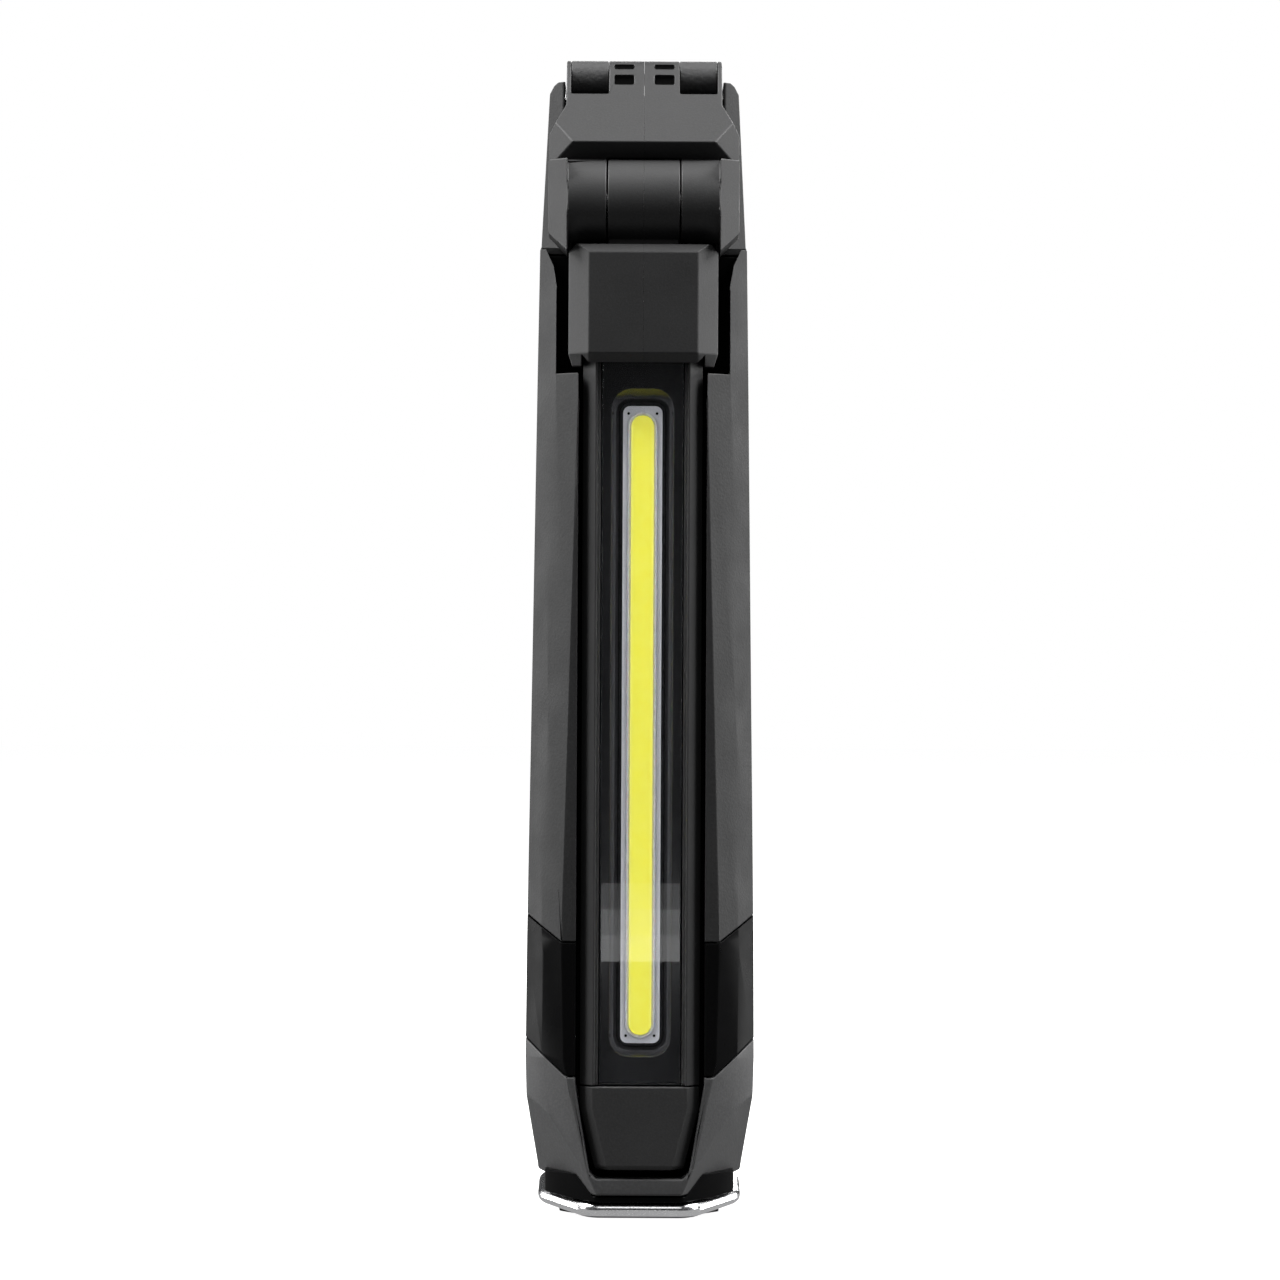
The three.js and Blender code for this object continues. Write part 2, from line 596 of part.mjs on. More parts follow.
const portCircuit = block(-9, 9, 9.4, 10.6, 36, 56);
piece(handle, 'charging_board', portCircuit, FINISH.circuit);
const socket = (halfWidth, halfHeight, y0, y1) => {
  const outline = roundRectangle(halfWidth, PORT.z - halfHeight, PORT.z + halfHeight, halfHeight * 0.98, 4);
  return frontPlate(outline, y0, y1);
};
piece(handle, 'charging_socket', cut(
  socket(PORT.halfWidth, PORT.halfHeight, 10.7, 16.4),
  socket(PORT.halfWidth - 0.4, PORT.halfHeight - 0.4, 11.5, 20),
).add(block(-2.6, 2.6, 11.2, 15.6, PORT.z - 0.35, PORT.z + 0.35)), FINISH.steel);

const rearMagnet = rodY(REAR_MAGNET.radius, REAR_MAGNET.inner, REAR_MAGNET.rear, 0, REAR_MAGNET.z, 32);
piece(handle, 'rear_magnet', rearMagnet, FINISH.magnet);
piece(handle, 'rear_magnet_cover', joined(
  rodY(MAGNET_COVER.neck, MAGNET_COVER.inner, MAGNET_COVER.rear - 0.5, 0, REAR_MAGNET.z, 32),
  rodY(MAGNET_COVER.radius, MAGNET_COVER.flange, MAGNET_COVER.rear, 0, REAR_MAGNET.z, 40),
), FINISH.rubber);

// ---------------------------------------------------------------- controls

piece(handle, 'power_button', joined(
  slot(BUTTON, 14.6, 0, HANDLE.rear + 0.9),
  slot(BUTTON, 14.6, FLANGE.reach, FLANGE.rear + 0.1),
), FINISH.rubber);

const coverPlate = slot(PORT_COVER, PORT_COVER.front, 0, PORT_COVER.rear);
const coverPlug = socket(PORT.halfWidth - 0.8, PORT.halfHeight - 0.75, 16, 17.5);
piece(handle, 'port_cover', joined(coverPlate, coverPlug), FINISH.rubber);

// ---------------------------------------------------------------- bail

// A steel rod between two points of the bail.
function rodBetween(from, to, radius, sides = 12) {
  const start = new THREE.Vector3(...from);
  const along = new THREE.Vector3(...to).sub(start);
  const geometry = new THREE.CylinderGeometry(radius, radius, along.length(), sides);
  geometry.translate(0, along.length() / 2, 0);
  const up = new THREE.Vector3(0, 1, 0);
  geometry.applyQuaternion(new THREE.Quaternion().setFromUnitVectors(up, along.clone().normalize()));
  geometry.translate(...from);
  return solid(geometry);
}

function ball(centre, radius) {
  const geometry = new THREE.SphereGeometry(radius, 12, 8);
  geometry.translate(...centre);
  return solid(geometry);
}

// The bail lies in one plane, through its pivots and its front bar.
const bailPoint = (x, y) => [x, y, bailHeight(y)];
const bailRoute = [
  [BAIL.pivotHalf, BAIL.pivotY], [BAIL.sideHalf, BAIL.pivotY], [BAIL.sideHalf, BAIL.sideY],
  [BAIL.frontHalf, BAIL.frontY],
];
const bailPoints = mirrored(bailRoute).map(([x, y]) => bailPoint(x, y));
const bailRods = bailPoints.slice(1).map((point, i) => rodBetween(bailPoints[i], point, BAIL.wire));
const bailBends = bailPoints.slice(1, -1).map((point) => ball(point, BAIL.wire));
piece(handle, 'bail', joined(...bailRods, ...bailBends), FINISH.steel);

// ---------------------------------------------------------------- link

// Side profile of the link's upper block: a slope down from the upper barrel to a ledge.
const slopeTop = [-1.63, 233.2];
const upperProfile = [
  [LINK.ledgeY, LINK.ledgeZ], [LOWER.y, LINK.earTop - 0.3], [LINK.rear, LINK.earTop - 0.3],
  [LINK.rear, 225.2], [-0.6, 227.6], [UPPER.y, UPPER.z], slopeTop,
];
const upperFront = mirrored([
  [LINK.halfWidth, 190], [LINK.halfWidth, 218], [LINK.cheek, 224.4], [LINK.cheek, 236],
]);
const upperPlan = mirrored([[14.3, LINK.ledgeY], [19.4, -11], [19.4, 10]]);
const upperBarrel = rodX(UPPER.radius, -LINK.cheek, LINK.cheek, UPPER.y, UPPER.z, 40);
const upperBlock = joined(sidePlate(upperProfile, -20, 20), upperBarrel)
  .intersect(frontPlate(upperFront, -30, 30))
  .intersect(planPlate(upperPlan, 190, 240));

// Each ear is a round end on the lower axis, with a faceted flank outside it.
const ears = joined(
  rodX(LOWER.radius, -LINK.ear, LINK.ear, LOWER.y, LOWER.z, 64),
  block(-LINK.ear, LINK.ear, LOWER.y, LINK.rear, LOWER.z, LINK.earTop),
);
function flank(sign) {
  const outer = LINK.halfWidth;
  const front = [[LINK.ear, 193.9], [outer, 197.8], [outer, LINK.flankTop], [LINK.ear, LINK.flankTop]];
  const plan = [[LINK.ear, -20.5], [outer, -16.6], [outer, LINK.rear], [LINK.ear, LINK.rear]];
  const flip = (points) => points.map(([x, v]) => [sign * x, v]);
  return frontPlate(flip(front), -22, 0).intersect(planPlate(flip(plan), 180, 220));
}

const pocketCut = (x0, x1) => joined(
  rodX(UPPER.radius + GAP, x0, x1, UPPER.y, UPPER.z, 32),
  block(x0, x1, -30, 10, 226.9, 240),
);
// Two slots in the front of the middle lug, on each side of the seam.
const LUG_SLOT = { inner: 2.1, outer: 6.1, rows: [[232.5, 233.5, -0.6], [229, 231.1, -2]] };
const lugSlots = SIDES.flatMap(([, sign]) => LUG_SLOT.rows.map(([z0, z1, rear]) => {
  const [x0, x1] = span(sign * LUG_SLOT.inner, sign * LUG_SLOT.outer);
  return block(x0, x1, -8, rear, z0, z1);
}));
const WASHER = { radius: 5.4, thickness: 0.7, depth: 1 };
const pinCut = rodX(LOWER.pin + GAP, -17, 17, LOWER.y, LOWER.z, 20);
const washerReach = BARREL_HALF + GAP + WASHER.depth;
const washerCuts = rodX(WASHER.radius + GAP, -washerReach, washerReach, LOWER.y, LOWER.z);

const linkBody = cut(
  joined(upperBlock, ears, flank(-1), flank(1)),
  pocketCut(KNUCKLE.inner - HINGE_GAP, KNUCKLE.outer + HINGE_GAP),
  pocketCut(-KNUCKLE.outer - HINGE_GAP, -KNUCKLE.inner + HINGE_GAP),
  rodX(LOWER.radius + GAP, -BARREL_HALF - GAP, BARREL_HALF + GAP, LOWER.y, LOWER.z, 32),
  block(-BARREL_HALF - GAP, BARREL_HALF + GAP, LOWER.y - 9, LINK.rear + 1, 190, LOWER.z),
  block(-BARREL_HALF - GAP, BARREL_HALF + GAP, LOWER.y, LINK.rear + 1, LOWER.z, 208),
  rodX(UPPER.pin + GAP, -15.4, 15.4, UPPER.y, UPPER.z, 20),
  pinCut,
  washerCuts,
  ...lugSlots,
);
// Everything on one side of the seam down the middle.
const seam = (sign) => block(...span(sign * GAP / 2, sign * BEYOND), -BEYOND, BEYOND, -1, 300);

// The two halves are screwed together from the rear of the right-hand half.
const LINK_SCREW = { y: -8.2, z: 219.5 };
const linkScrewCut = joined(
  rodX(SCREW.shank + GAP, -8, 16, LINK_SCREW.y, LINK_SCREW.z, 12),
  rodX(SCREW.headRadius + GAP, 13.5, 30, LINK_SCREW.y, LINK_SCREW.z, 16),
);
for (const [side, sign] of SIDES) {
  piece(link, `link_${side}`, cut(linkBody.intersect(seam(sign)), linkScrewCut), FINISH.moulded);
}

// A screw lying along X, its head to the right.
const crossScrew = (tip, head, y, z) => cut(
  joined(
    rodX(SCREW.shank, tip, head, y, z, 10),
    rodX(SCREW.headRadius, head - SCREW.head, head, y, z, 16),
  ),
  rodX(SCREW.socket, head - SCREW.socketDepth, head + 1, y, z, 6),
);
piece(link, 'link_screw', crossScrew(-7, 15.4, LINK_SCREW.y, LINK_SCREW.z), FINISH.steel);
piece(link, 'lower_hinge_pin', rodX(LOWER.pin, -16.5, 16.5, LOWER.y, LOWER.z, 20), FINISH.steel);
for (const [side, sign] of SIDES) {
  const inner = BARREL_HALF + GAP + 0.05;
  const [x0, x1] = span(sign * inner, sign * (inner + WASHER.thickness));
  const ring = cut(
    rodX(WASHER.radius, x0, x1, LOWER.y, LOWER.z),
    rodX(LOWER.pin + GAP, x0 - 1, x1 + 1, LOWER.y, LOWER.z, 20),
  );
  piece(link, `friction_washer_${side}`, ring, FINISH.steel);
}

// ---------------------------------------------------------------- blade cap

const capRing = (at, frontHalf, front, bevelY, halfWidth) => ({
  at,
  ring: mirrored([[frontHalf, front], [halfWidth, bevelY], [halfWidth, CAP.rear]]),
});
const capFlat = CAP.halfWidth - CAP.bevel;
const capBevelY = CAP.front + CAP.bevel - 0.1;
const capSolid = loftUp([
  capRing(CAP.bottom, capFlat, CAP.front + 2.2, capBevelY + 1, CAP.halfWidth - 0.8),
  capRing(CAP.bottom + 2.5, capFlat, CAP.front, capBevelY, CAP.halfWidth),
  capRing(CAP.top - 1.7, capFlat, CAP.front, capBevelY, CAP.halfWidth),
  capRing(CAP.top, 13.2, CAP.front + 1.8, capBevelY - 1.6, CAP.halfWidth - 1.4),
]);
const capNeck = block(-BARREL_HALF + 0.1, BARREL_HALF - 0.1, -15.5, -6, CAP.top - 1, LOWER.z - 4);
const capCavity = block(
  -BLADE.halfWidth - GAP, BLADE.halfWidth + GAP, LENS.front - GAP, BLADE.rear + GAP, 160, BLADE.top + GAP,
);
const capBody = cut(
  joined(capSolid, capNeck, rodX(LOWER.radius, -BARREL_HALF, BARREL_HALF, LOWER.y, LOWER.z, 64)),
  capCavity,
  rodX(LOWER.pin + GAP, -30, 30, LOWER.y, LOWER.z, 20),
);
const CAP_SCREW = { y: -12, z: 190.4 };
const capScrewCut = joined(
  rodX(SCREW.shank + GAP, -9, 16, CAP_SCREW.y, CAP_SCREW.z, 12),
  rodX(SCREW.headRadius + GAP, 12.6, 30, CAP_SCREW.y, CAP_SCREW.z, 16),
);
for (const [side, sign] of SIDES) {
  piece(blade, `cap_${side}`, cut(capBody.intersect(seam(sign)), capScrewCut), FINISH.moulded);
}
piece(blade, 'cap_screw', crossScrew(-8, 14.5, CAP_SCREW.y, CAP_SCREW.z), FINISH.steel);

// ---------------------------------------------------------------- blade

const BLADE_BEVEL = { width: 2.5, y: -15.9 };
const bladeSection = (halfWidth) => mirrored([
  [halfWidth - BLADE_BEVEL.width, BLADE.front], [halfWidth, BLADE_BEVEL.y], [halfWidth, BLADE.rear],
]);
const PAN = { halfWidth: 8.4, floor: -10.1 }; // front recess for the lens, reflector and board
const BACK = { halfWidth: 9.5, front: -8.9, bottom: 30, top: 168 };
const TONGUE = { halfWidth: 7.5, bottom: 14.5 };
// The frame's lower end carries a tongue that the tip slides over.
const tongue = (grow) => block(
  -TONGUE.halfWidth - grow, TONGUE.halfWidth + grow, PAN.floor - grow, BACK.front + grow,
  TONGUE.bottom - grow, BLADE.bottom + 5,
);
const frame = joined(
  cut(
    planPlate(bladeSection(BLADE.halfWidth), BLADE.bottom, BLADE.top),
    block(-PAN.halfWidth, PAN.halfWidth, -30, PAN.floor, 0, LENS.top + GAP),
    block(-PAN.halfWidth - 0.7, PAN.halfWidth + 0.7, -30, -17.4, 0, 200),
    block(-BACK.halfWidth - GAP, BACK.halfWidth + GAP, BACK.front, 0, BACK.bottom - GAP, BACK.top + GAP),
  ),
  tongue(0),
);
const TIP_SCREW = { x: 4.5, z: 19.5, headRadius: 2 };
const BACK_SCREWS = [['lower', 40], ['upper', 158]];
const screwHoleY = (x, z, y0, y1) => rodY(SCREW.shank + GAP, y0, y1, x, z, 12);
piece(blade, 'blade_frame', cut(
  frame,
  ...SIDES.map(([, sign]) => screwHoleY(sign * TIP_SCREW.x, TIP_SCREW.z, -11, 0)),
  ...BACK_SCREWS.map(([, z]) => screwHoleY(0, z, -11, 0)),
), FINISH.moulded);

piece(blade, 'blade_back_plate', cut(
  block(-BACK.halfWidth, BACK.halfWidth, BACK.front + 0.1, BLADE.rear, BACK.bottom, BACK.top),
  ...BACK_SCREWS.map(([, z]) => screwHoleY(0, z, -11, 0)),
  ...BACK_SCREWS.map(([, z]) => rodY(SCREW.headRadius + GAP, -8, 0, 0, z, 16)),
), FINISH.aluminium);

// A plate centred on X, from a row of its half width, front, rear, bottom and top.
const plate = ({ halfWidth, front, rear, bottom, top }) =>
  block(-halfWidth, halfWidth, front, rear, bottom, top);
const HEAT_SINK = { halfWidth: 8.1, front: -13.4, rear: -10.2, bottom: 29, top: 169.5 };
piece(blade, 'heat_sink', cut(
  plate(HEAT_SINK),
  ...BACK_SCREWS.map(([, z]) => screwHoleY(0, z, -12.6, 0)),
), FINISH.aluminium);
const flushHead = { front: -7.9, rear: -7.2, socket: -7.6 }; // thin heads, sunk in the blade's rear
for (const [place, z] of BACK_SCREWS) {
  const body = joined(
    rodY(SCREW.shank, -12.2, flushHead.rear, 0, z, 10),
    rodY(SCREW.headRadius, flushHead.front, flushHead.rear, 0, z, 16),
  );
  const screw = cut(body, rodY(SCREW.socket, flushHead.socket, 0, 0, z, 6));
  piece(blade, `back_plate_screw_${place}`, screw, FINISH.steel);
}

const boardOutline = roundRectangle(BOARD.halfWidth, BOARD.bottom, BOARD.top, 1.4);
piece(blade, 'led_board', frontPlate(boardOutline, BOARD.front + 0.2, BOARD.back), FINISH.board);
// The phosphor strip, and the bead of sealant that walls it in.
const DAM = 0.8;
const damFace = BOARD.front - 0.3;
const phosphorOutline = (grow) => roundRectangle(
  PHOSPHOR.halfWidth + grow, PHOSPHOR.bottom - grow, PHOSPHOR.top + grow, PHOSPHOR.halfWidth + grow - 0.1,
);
piece(blade, 'led_dam', cut(
  frontPlate(phosphorOutline(DAM), damFace, BOARD.front + 0.15),
  frontPlate(phosphorOutline(0.1), -20, 0),
), FINISH.board);
piece(blade, 'led_phosphor', frontPlate(phosphorOutline(0), damFace, BOARD.front + 0.15), FINISH.phosphor);

// The reflector's slot narrows from the lens down to the board.
const REFLECTOR = { halfWidth: 8.1, front: -17.3, rear: -13.7, bottom: 27.6, top: 183.6 };
const slotRing = (at, halfWidth, bottom, top, radius) =>
  ({ at, ring: roundRectangle(halfWidth, bottom, top, radius) });
const reflectorSlot = loftBack([
  slotRing(REFLECTOR.front - 0.5, 6.5, 32.4, 167, 4.2),
  slotRing(REFLECTOR.rear + 0.5, 4.25, BOARD.bottom - 0.3, BOARD.top + 0.3, 1.7),
]);
piece(blade, 'reflector', cut(
  plate(REFLECTOR),
  reflectorSlot,
), FINISH.glossBlack);
piece(blade, 'lens', plate(LENS), FINISH.lens);

const tipSection = (at, halfWidth, front = BLADE.front) => ({
  at,
  ring: mirrored([
    [halfWidth - BLADE_BEVEL.width, front],
    [halfWidth, front + BLADE_BEVEL.y - BLADE.front],
    [halfWidth, BLADE.rear],
  ]),
});
const tipSolid = loftUp([
  tipSection(TIP.bottom, TIP.halfWidth, BLADE.front + 0.8),
  tipSection(TIP.bottom + 0.8, TIP.halfWidth + 0.3),
  tipSection(TIP.taperFrom, BLADE.halfWidth),
  tipSection(BLADE.bottom - 0.3, BLADE.halfWidth),
]);
piece(blade, 'blade_tip', cut(
  tipSolid,
  tongue(GAP),
  ...SIDES.flatMap(([, sign]) => [
    screwHoleY(sign * TIP_SCREW.x, TIP_SCREW.z, -15, 0),
    rodY(TIP_SCREW.headRadius + GAP, -8, 0, sign * TIP_SCREW.x, TIP_SCREW.z, 16),
  ]),
), FINISH.moulded);
for (const [side, sign] of SIDES) {
  const x = sign * TIP_SCREW.x;
  const body = joined(
    rodY(SCREW.shank, -14.5, flushHead.rear, x, TIP_SCREW.z, 10),
    rodY(TIP_SCREW.headRadius, flushHead.front, flushHead.rear, x, TIP_SCREW.z, 16),
  );
  const screw = cut(body, rodY(1, flushHead.socket, 0, x, TIP_SCREW.z, 6));
  piece(blade, `tip_screw_${side}`, screw, FINISH.steel);
}

export default group;
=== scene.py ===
# %% [markdown]
# # A folding work light
# A slim inspection light stands folded on its base.  The solids of the frame give every size
# and place.  This lesson gives them edges, grain, glass and light, one piece at a time.

# %% The frame
import json
import math

import bmesh
import bpy
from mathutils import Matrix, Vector


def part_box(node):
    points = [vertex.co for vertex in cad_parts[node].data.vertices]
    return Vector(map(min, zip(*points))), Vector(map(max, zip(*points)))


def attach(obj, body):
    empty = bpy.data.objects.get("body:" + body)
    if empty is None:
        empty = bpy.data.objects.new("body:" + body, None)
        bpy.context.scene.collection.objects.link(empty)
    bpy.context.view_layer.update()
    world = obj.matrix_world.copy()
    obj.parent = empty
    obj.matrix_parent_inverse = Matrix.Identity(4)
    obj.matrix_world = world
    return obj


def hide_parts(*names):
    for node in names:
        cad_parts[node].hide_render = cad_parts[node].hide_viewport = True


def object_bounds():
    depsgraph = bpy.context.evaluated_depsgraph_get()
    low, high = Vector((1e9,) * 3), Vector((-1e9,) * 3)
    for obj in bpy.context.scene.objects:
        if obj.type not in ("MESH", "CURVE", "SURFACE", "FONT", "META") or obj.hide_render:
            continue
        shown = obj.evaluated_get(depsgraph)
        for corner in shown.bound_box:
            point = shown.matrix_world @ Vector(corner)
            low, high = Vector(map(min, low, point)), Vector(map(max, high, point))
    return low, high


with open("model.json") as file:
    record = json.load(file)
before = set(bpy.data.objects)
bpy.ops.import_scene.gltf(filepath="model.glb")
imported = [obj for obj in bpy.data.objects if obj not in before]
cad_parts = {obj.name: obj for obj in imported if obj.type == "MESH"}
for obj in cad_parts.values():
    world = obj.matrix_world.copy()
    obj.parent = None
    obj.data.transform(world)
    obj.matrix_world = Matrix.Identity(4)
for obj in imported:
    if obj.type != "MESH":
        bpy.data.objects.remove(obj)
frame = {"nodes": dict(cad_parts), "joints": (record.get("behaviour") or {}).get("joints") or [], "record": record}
cad_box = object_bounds()
MM = 0.001
nodes = frame["nodes"]
low, high = cad_box
print("the frame is", [round((b - a) / MM, 1) for a, b in zip(low, high)], "mm")

# %% [markdown]
# ## Camera
# A long lens far away keeps the upright sides of a slim product parallel.  The camera looks
# straight at the front, level with the middle of the light, and leans by a fraction of a degree.

# %% Camera
VIEW_WIDTH = 256 * MM  # what the picture spans at the lens of the light
VIEW_DISTANCE = 900 * MM
EYE_HEIGHT = 116.2 * MM
SIDE_STEP = -0.35 * MM
LEAN = math.radians(0.28)

lens_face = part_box("lens")[0].y
camera_data = bpy.data.cameras.new("camera")
camera_data.angle = 2 * math.atan(VIEW_WIDTH / 2 / VIEW_DISTANCE)
camera_data.clip_start = 0.01
camera = bpy.data.objects.new("camera", camera_data)
camera.location = (SIDE_STEP, lens_face - VIEW_DISTANCE, EYE_HEIGHT)
camera.rotation_euler = (math.radians(90), 0, 0)
camera.rotation_euler.rotate_axis("Z", LEAN)
bpy.context.collection.objects.link(camera)
bpy.context.scene.camera = camera
print("camera lens", round(camera_data.lens, 1), "mm")

# %% [markdown]
# ## Floor and light
# Dark plastic shows its shape through what it mirrors.  The strongest soft boxes stand high at the
# sides, so that bevelled faces are grey and faces turned to the camera stay dark.  Weaker ones draw
# the outline from behind, reach the blade's flanks, and fill the top, the front, the foot and the
# back.  Three small cards in front give the lens its one soft reflection.  A photographer could
# also use one big tent, but a tent would make the gloss black panel grey all over.
#
# The floor is plain and pale.  It glows evenly, and the object neither mirrors it nor takes light
# from it, because the soft boxes alone are to shape the dark faces.

# %% Floor
def plain_material(name, color, roughness):
    material = bpy.data.materials.new(name)
    material.use_nodes = True
    shader = material.node_tree.nodes["Principled BSDF"]
    shader.inputs["Base Color"].default_value = (*color, 1)
    shader.inputs["Roughness"].default_value = roughness
    return material


FLOOR_REACH = 4.0
FLOOR_DROP = 0.1 * MM  # keeps the floor from touching the foot
FLOOR_GLOW = 0.97  # a floor lit from every side, whatever the camera's angle
floor_mesh = bpy.data.meshes.new("floor")
floor_builder = bmesh.new()
bmesh.ops.create_circle(floor_builder, cap_ends=True, segments=96, radius=FLOOR_REACH)
floor_builder.to_mesh(floor_mesh)
floor_builder.free()
floor = bpy.data.objects.new("floor", floor_mesh)
floor.location.z = -FLOOR_DROP
floor_paint = plain_material("floor_white", (0.4, 0.4, 0.4), 1.0)
floor_shader = floor_paint.node_tree.nodes["Principled BSDF"]
floor_shader.inputs["Specular IOR Level"].default_value = 0
floor_shader.inputs["Emission Color"].default_value = (1, 1, 1, 1)
floor_shader.inputs["Emission Strength"].default_value = FLOOR_GLOW
floor_mesh.materials.append(floor_paint)
bpy.context.collection.objects.link(floor)
floor.visible_diffuse = False
floor.visible_glossy = False
floor.visible_transmission = False
print("a floor", 2 * FLOOR_REACH, "m across")

# %% Lights
def soft_box(name, place, target, width, height, power):
    data = bpy.data.lights.new(name, "AREA")
    data.shape = "RECTANGLE"
    data.size = width
    data.size_y = height
    data.energy = power
    light = bpy.data.objects.new(name, data)
    light.location = place
    light.rotation_euler = (Vector(target) - Vector(place)).to_track_quat("-Z", "Y").to_euler()
    bpy.context.collection.objects.link(light)


MIDDLE = (0, 0, 0.12)  # what the soft boxes face; places and sizes are in metres, powers in watts
for side, sign in (("left", -1), ("right", 1)):
    soft_box(f"box_{side}", (sign * 0.65, -0.08, 0.8), MIDDLE, 0.5, 0.5, 20)
    soft_box(f"rim_{side}", (sign * 0.85, 0.3, 0.1), MIDDLE, 0.3, 0.6, 6)
    soft_box(f"quarter_{side}", (sign * 0.85, -0.3, 0.3), MIDDLE, 0.3, 0.5, 1.4)
soft_box("box_above", (0, -0.15, 1.1), MIDDLE, 0.9, 0.5, 4.5)
soft_box("key", (0, -0.85, 0.8), MIDDLE, 0.4, 0.4, 0.7)
soft_box("bounce", (0, 0, 0.0005), (0, 0, 1), 0.7, 0.32, 0.25)
soft_box("box_rear", (0.25, 1.0, 0.55), MIDDLE, 0.6, 0.6, 9)
CARD_POWERS = (0.0032, 0.0022, 0.0011)  # from the bottom up, so that the reflection fades upwards
CARD_HEIGHT = 8 * MM
LOWEST_CARD = 21.5 * MM
CARD_TILT = 25 * MM  # how far above its own height a card looks at the lens
for step, power in enumerate(CARD_POWERS):
    height = LOWEST_CARD + CARD_HEIGHT * step
    soft_box(f"card_{step}", (0, -0.5, height), (0, -0.019, height + CARD_TILT), 0.06, CARD_HEIGHT, power)

SEEN_STRENGTH = 1.0  # the backdrop that the camera sees
FILL_STRENGTH = 0.05  # the dim room that lights the object
world = bpy.data.worlds.new("studio")
bpy.context.scene.world = world
world.use_nodes = True
world_nodes = world.node_tree.nodes
world_links = world.node_tree.links
seen = world_nodes["Background"]
seen.inputs["Color"].default_value = (1, 1, 1, 1)
seen.inputs["Strength"].default_value = SEEN_STRENGTH
lighting = world_nodes.new("ShaderNodeBackground")
lighting.inputs["Color"].default_value = (0.95, 0.97, 1, 1)
lighting.inputs["Strength"].default_value = FILL_STRENGTH
path = world_nodes.new("ShaderNodeLightPath")
mix = world_nodes.new("ShaderNodeMixShader")
world_links.new(path.outputs["Is Camera Ray"], mix.inputs["Fac"])
world_links.new(lighting.outputs[0], mix.inputs[1])
world_links.new(seen.outputs[0], mix.inputs[2])
world_links.new(mix.outputs[0], world_nodes["World Output"].inputs["Surface"])
bpy.context.scene.view_settings.view_transform = "Standard"
print("ten soft boxes and", len(CARD_POWERS), "small cards")

# %% [markdown]
# ## Tools for finishes
# Every finish starts as one Principled shader.  Small helpers add what a real surface has: a grain
# that the mould leaves, a slow change of colour and a polish that varies.  They also paint lighter edges,
# partly a painted highlight for the light a rounded edge catches and partly wear that hands and pockets rub.
# All patterns are laid in object space, so they stay put on the piece.

# %% Finish helpers
GRAIN_SHARE = 0.5  # how far a grain's height is voronoi cells rather than noise
BROAD_PATCH = 22 * MM  # the size of the slow changes of tone
SHEEN_AND_WEAR_EDGE = 0.35 * MM  # how wide the painted edge highlight and the rubbed wear run along an edge


class Finish:
    """One material being built: its tree, its shader and the object coordinates."""

    def __init__(self, name, color, roughness, metallic=0.0):
        self.material = plain_material(name, color, roughness)
        self.tree = self.material.node_tree
        self.shader = self.tree.nodes["Principled BSDF"]
        self.shader.inputs["Metallic"].default_value = metallic
        self.place = self.tree.nodes.new("ShaderNodeTexCoord").outputs["Object"]

    def link(self, output, socket):
        """Join an output to a socket, given as itself or as the name of one of the shader's."""
        target = self.shader.inputs[socket] if isinstance(socket, str) else socket
        self.tree.links.new(output, target)

    def stretched(self, scale):
        mapping = self.tree.nodes.new("ShaderNodeMapping")
        mapping.inputs["Scale"].default_value = scale
        self.link(self.place, mapping.inputs["Vector"])
        return mapping.outputs[0]

    def noise(self, size, detail=3.0, place=None):
        node = self.tree.nodes.new("ShaderNodeTexNoise")
        node.inputs["Scale"].default_value = 1 / size
        node.inputs["Detail"].default_value = detail
        self.link(place or self.place, node.inputs["Vector"])
        return node.outputs["Fac"]

    def cells(self, size):
        node = self.tree.nodes.new("ShaderNodeTexVoronoi")
        node.feature = "SMOOTH_F1"
        node.inputs["Scale"].default_value = 1 / size
        self.link(self.place, node.inputs["Vector"])
        return node.outputs["Distance"]

    def spread(self, value, low, high, start=0.3, stop=0.7):
        node = self.tree.nodes.new("ShaderNodeMapRange")
        node.inputs["From Min"].default_value = start
        node.inputs["From Max"].default_value = stop
        node.inputs["To Min"].default_value = low
        node.inputs["To Max"].default_value = high
        self.link(value, node.inputs["Value"])
        return node.outputs["Result"]

    def combine(self, operation, a, b):
        node = self.tree.nodes.new("ShaderNodeMath")
        node.operation = operation
        for socket, value in zip(node.inputs, (a, b)):
            if isinstance(value, (int, float)):
                socket.default_value = value
            else:
                self.link(value, socket)
        return node.outputs[0]

    def blend(self, mask, first, second):
        node = self.tree.nodes.new("ShaderNodeMix")
        node.data_type = "RGBA"
        self.link(mask, node.inputs["Factor"])
        for socket, value in zip(node.inputs[6:8], (first, second)):
            if isinstance(value, tuple):
                socket.default_value = (*value, 1)
            else:
                self.link(value, socket)
        return node.outputs[2]

    def edges(self, radius):
        """1 on sharp edges, 0 on flats, from how far a rounded normal turns from the true one."""
        rounded = self.tree.nodes.new("ShaderNodeBevel")
        rounded.samples = 6
        rounded.inputs["Radius"].default_value = radius
        true = self.tree.nodes.new("ShaderNodeNewGeometry")
        dot = self.tree.nodes.new("ShaderNodeVectorMath")
        dot.operation = "DOT_PRODUCT"
        self.link(rounded.outputs[0], dot.inputs[0])
        self.link(true.outputs["Normal"], dot.inputs[1])
        return self.spread(dot.outputs["Value"], 1.0, 0.0, 0.9, 0.995)

    def bump(self, height, depth, strength=1.0):
        node = self.tree.nodes.new("ShaderNodeBump")
        node.inputs["Strength"].default_value = strength
        node.inputs["Distance"].default_value = depth
        self.link(height, node.inputs["Height"])
        self.link(node.outputs[0], self.shader.inputs["Normal"])

    def set(self, socket, value):
        self.shader.inputs[socket].default_value = value


def scaled(color, factor):
    return tuple(min(1.0, channel * factor) for channel in color)


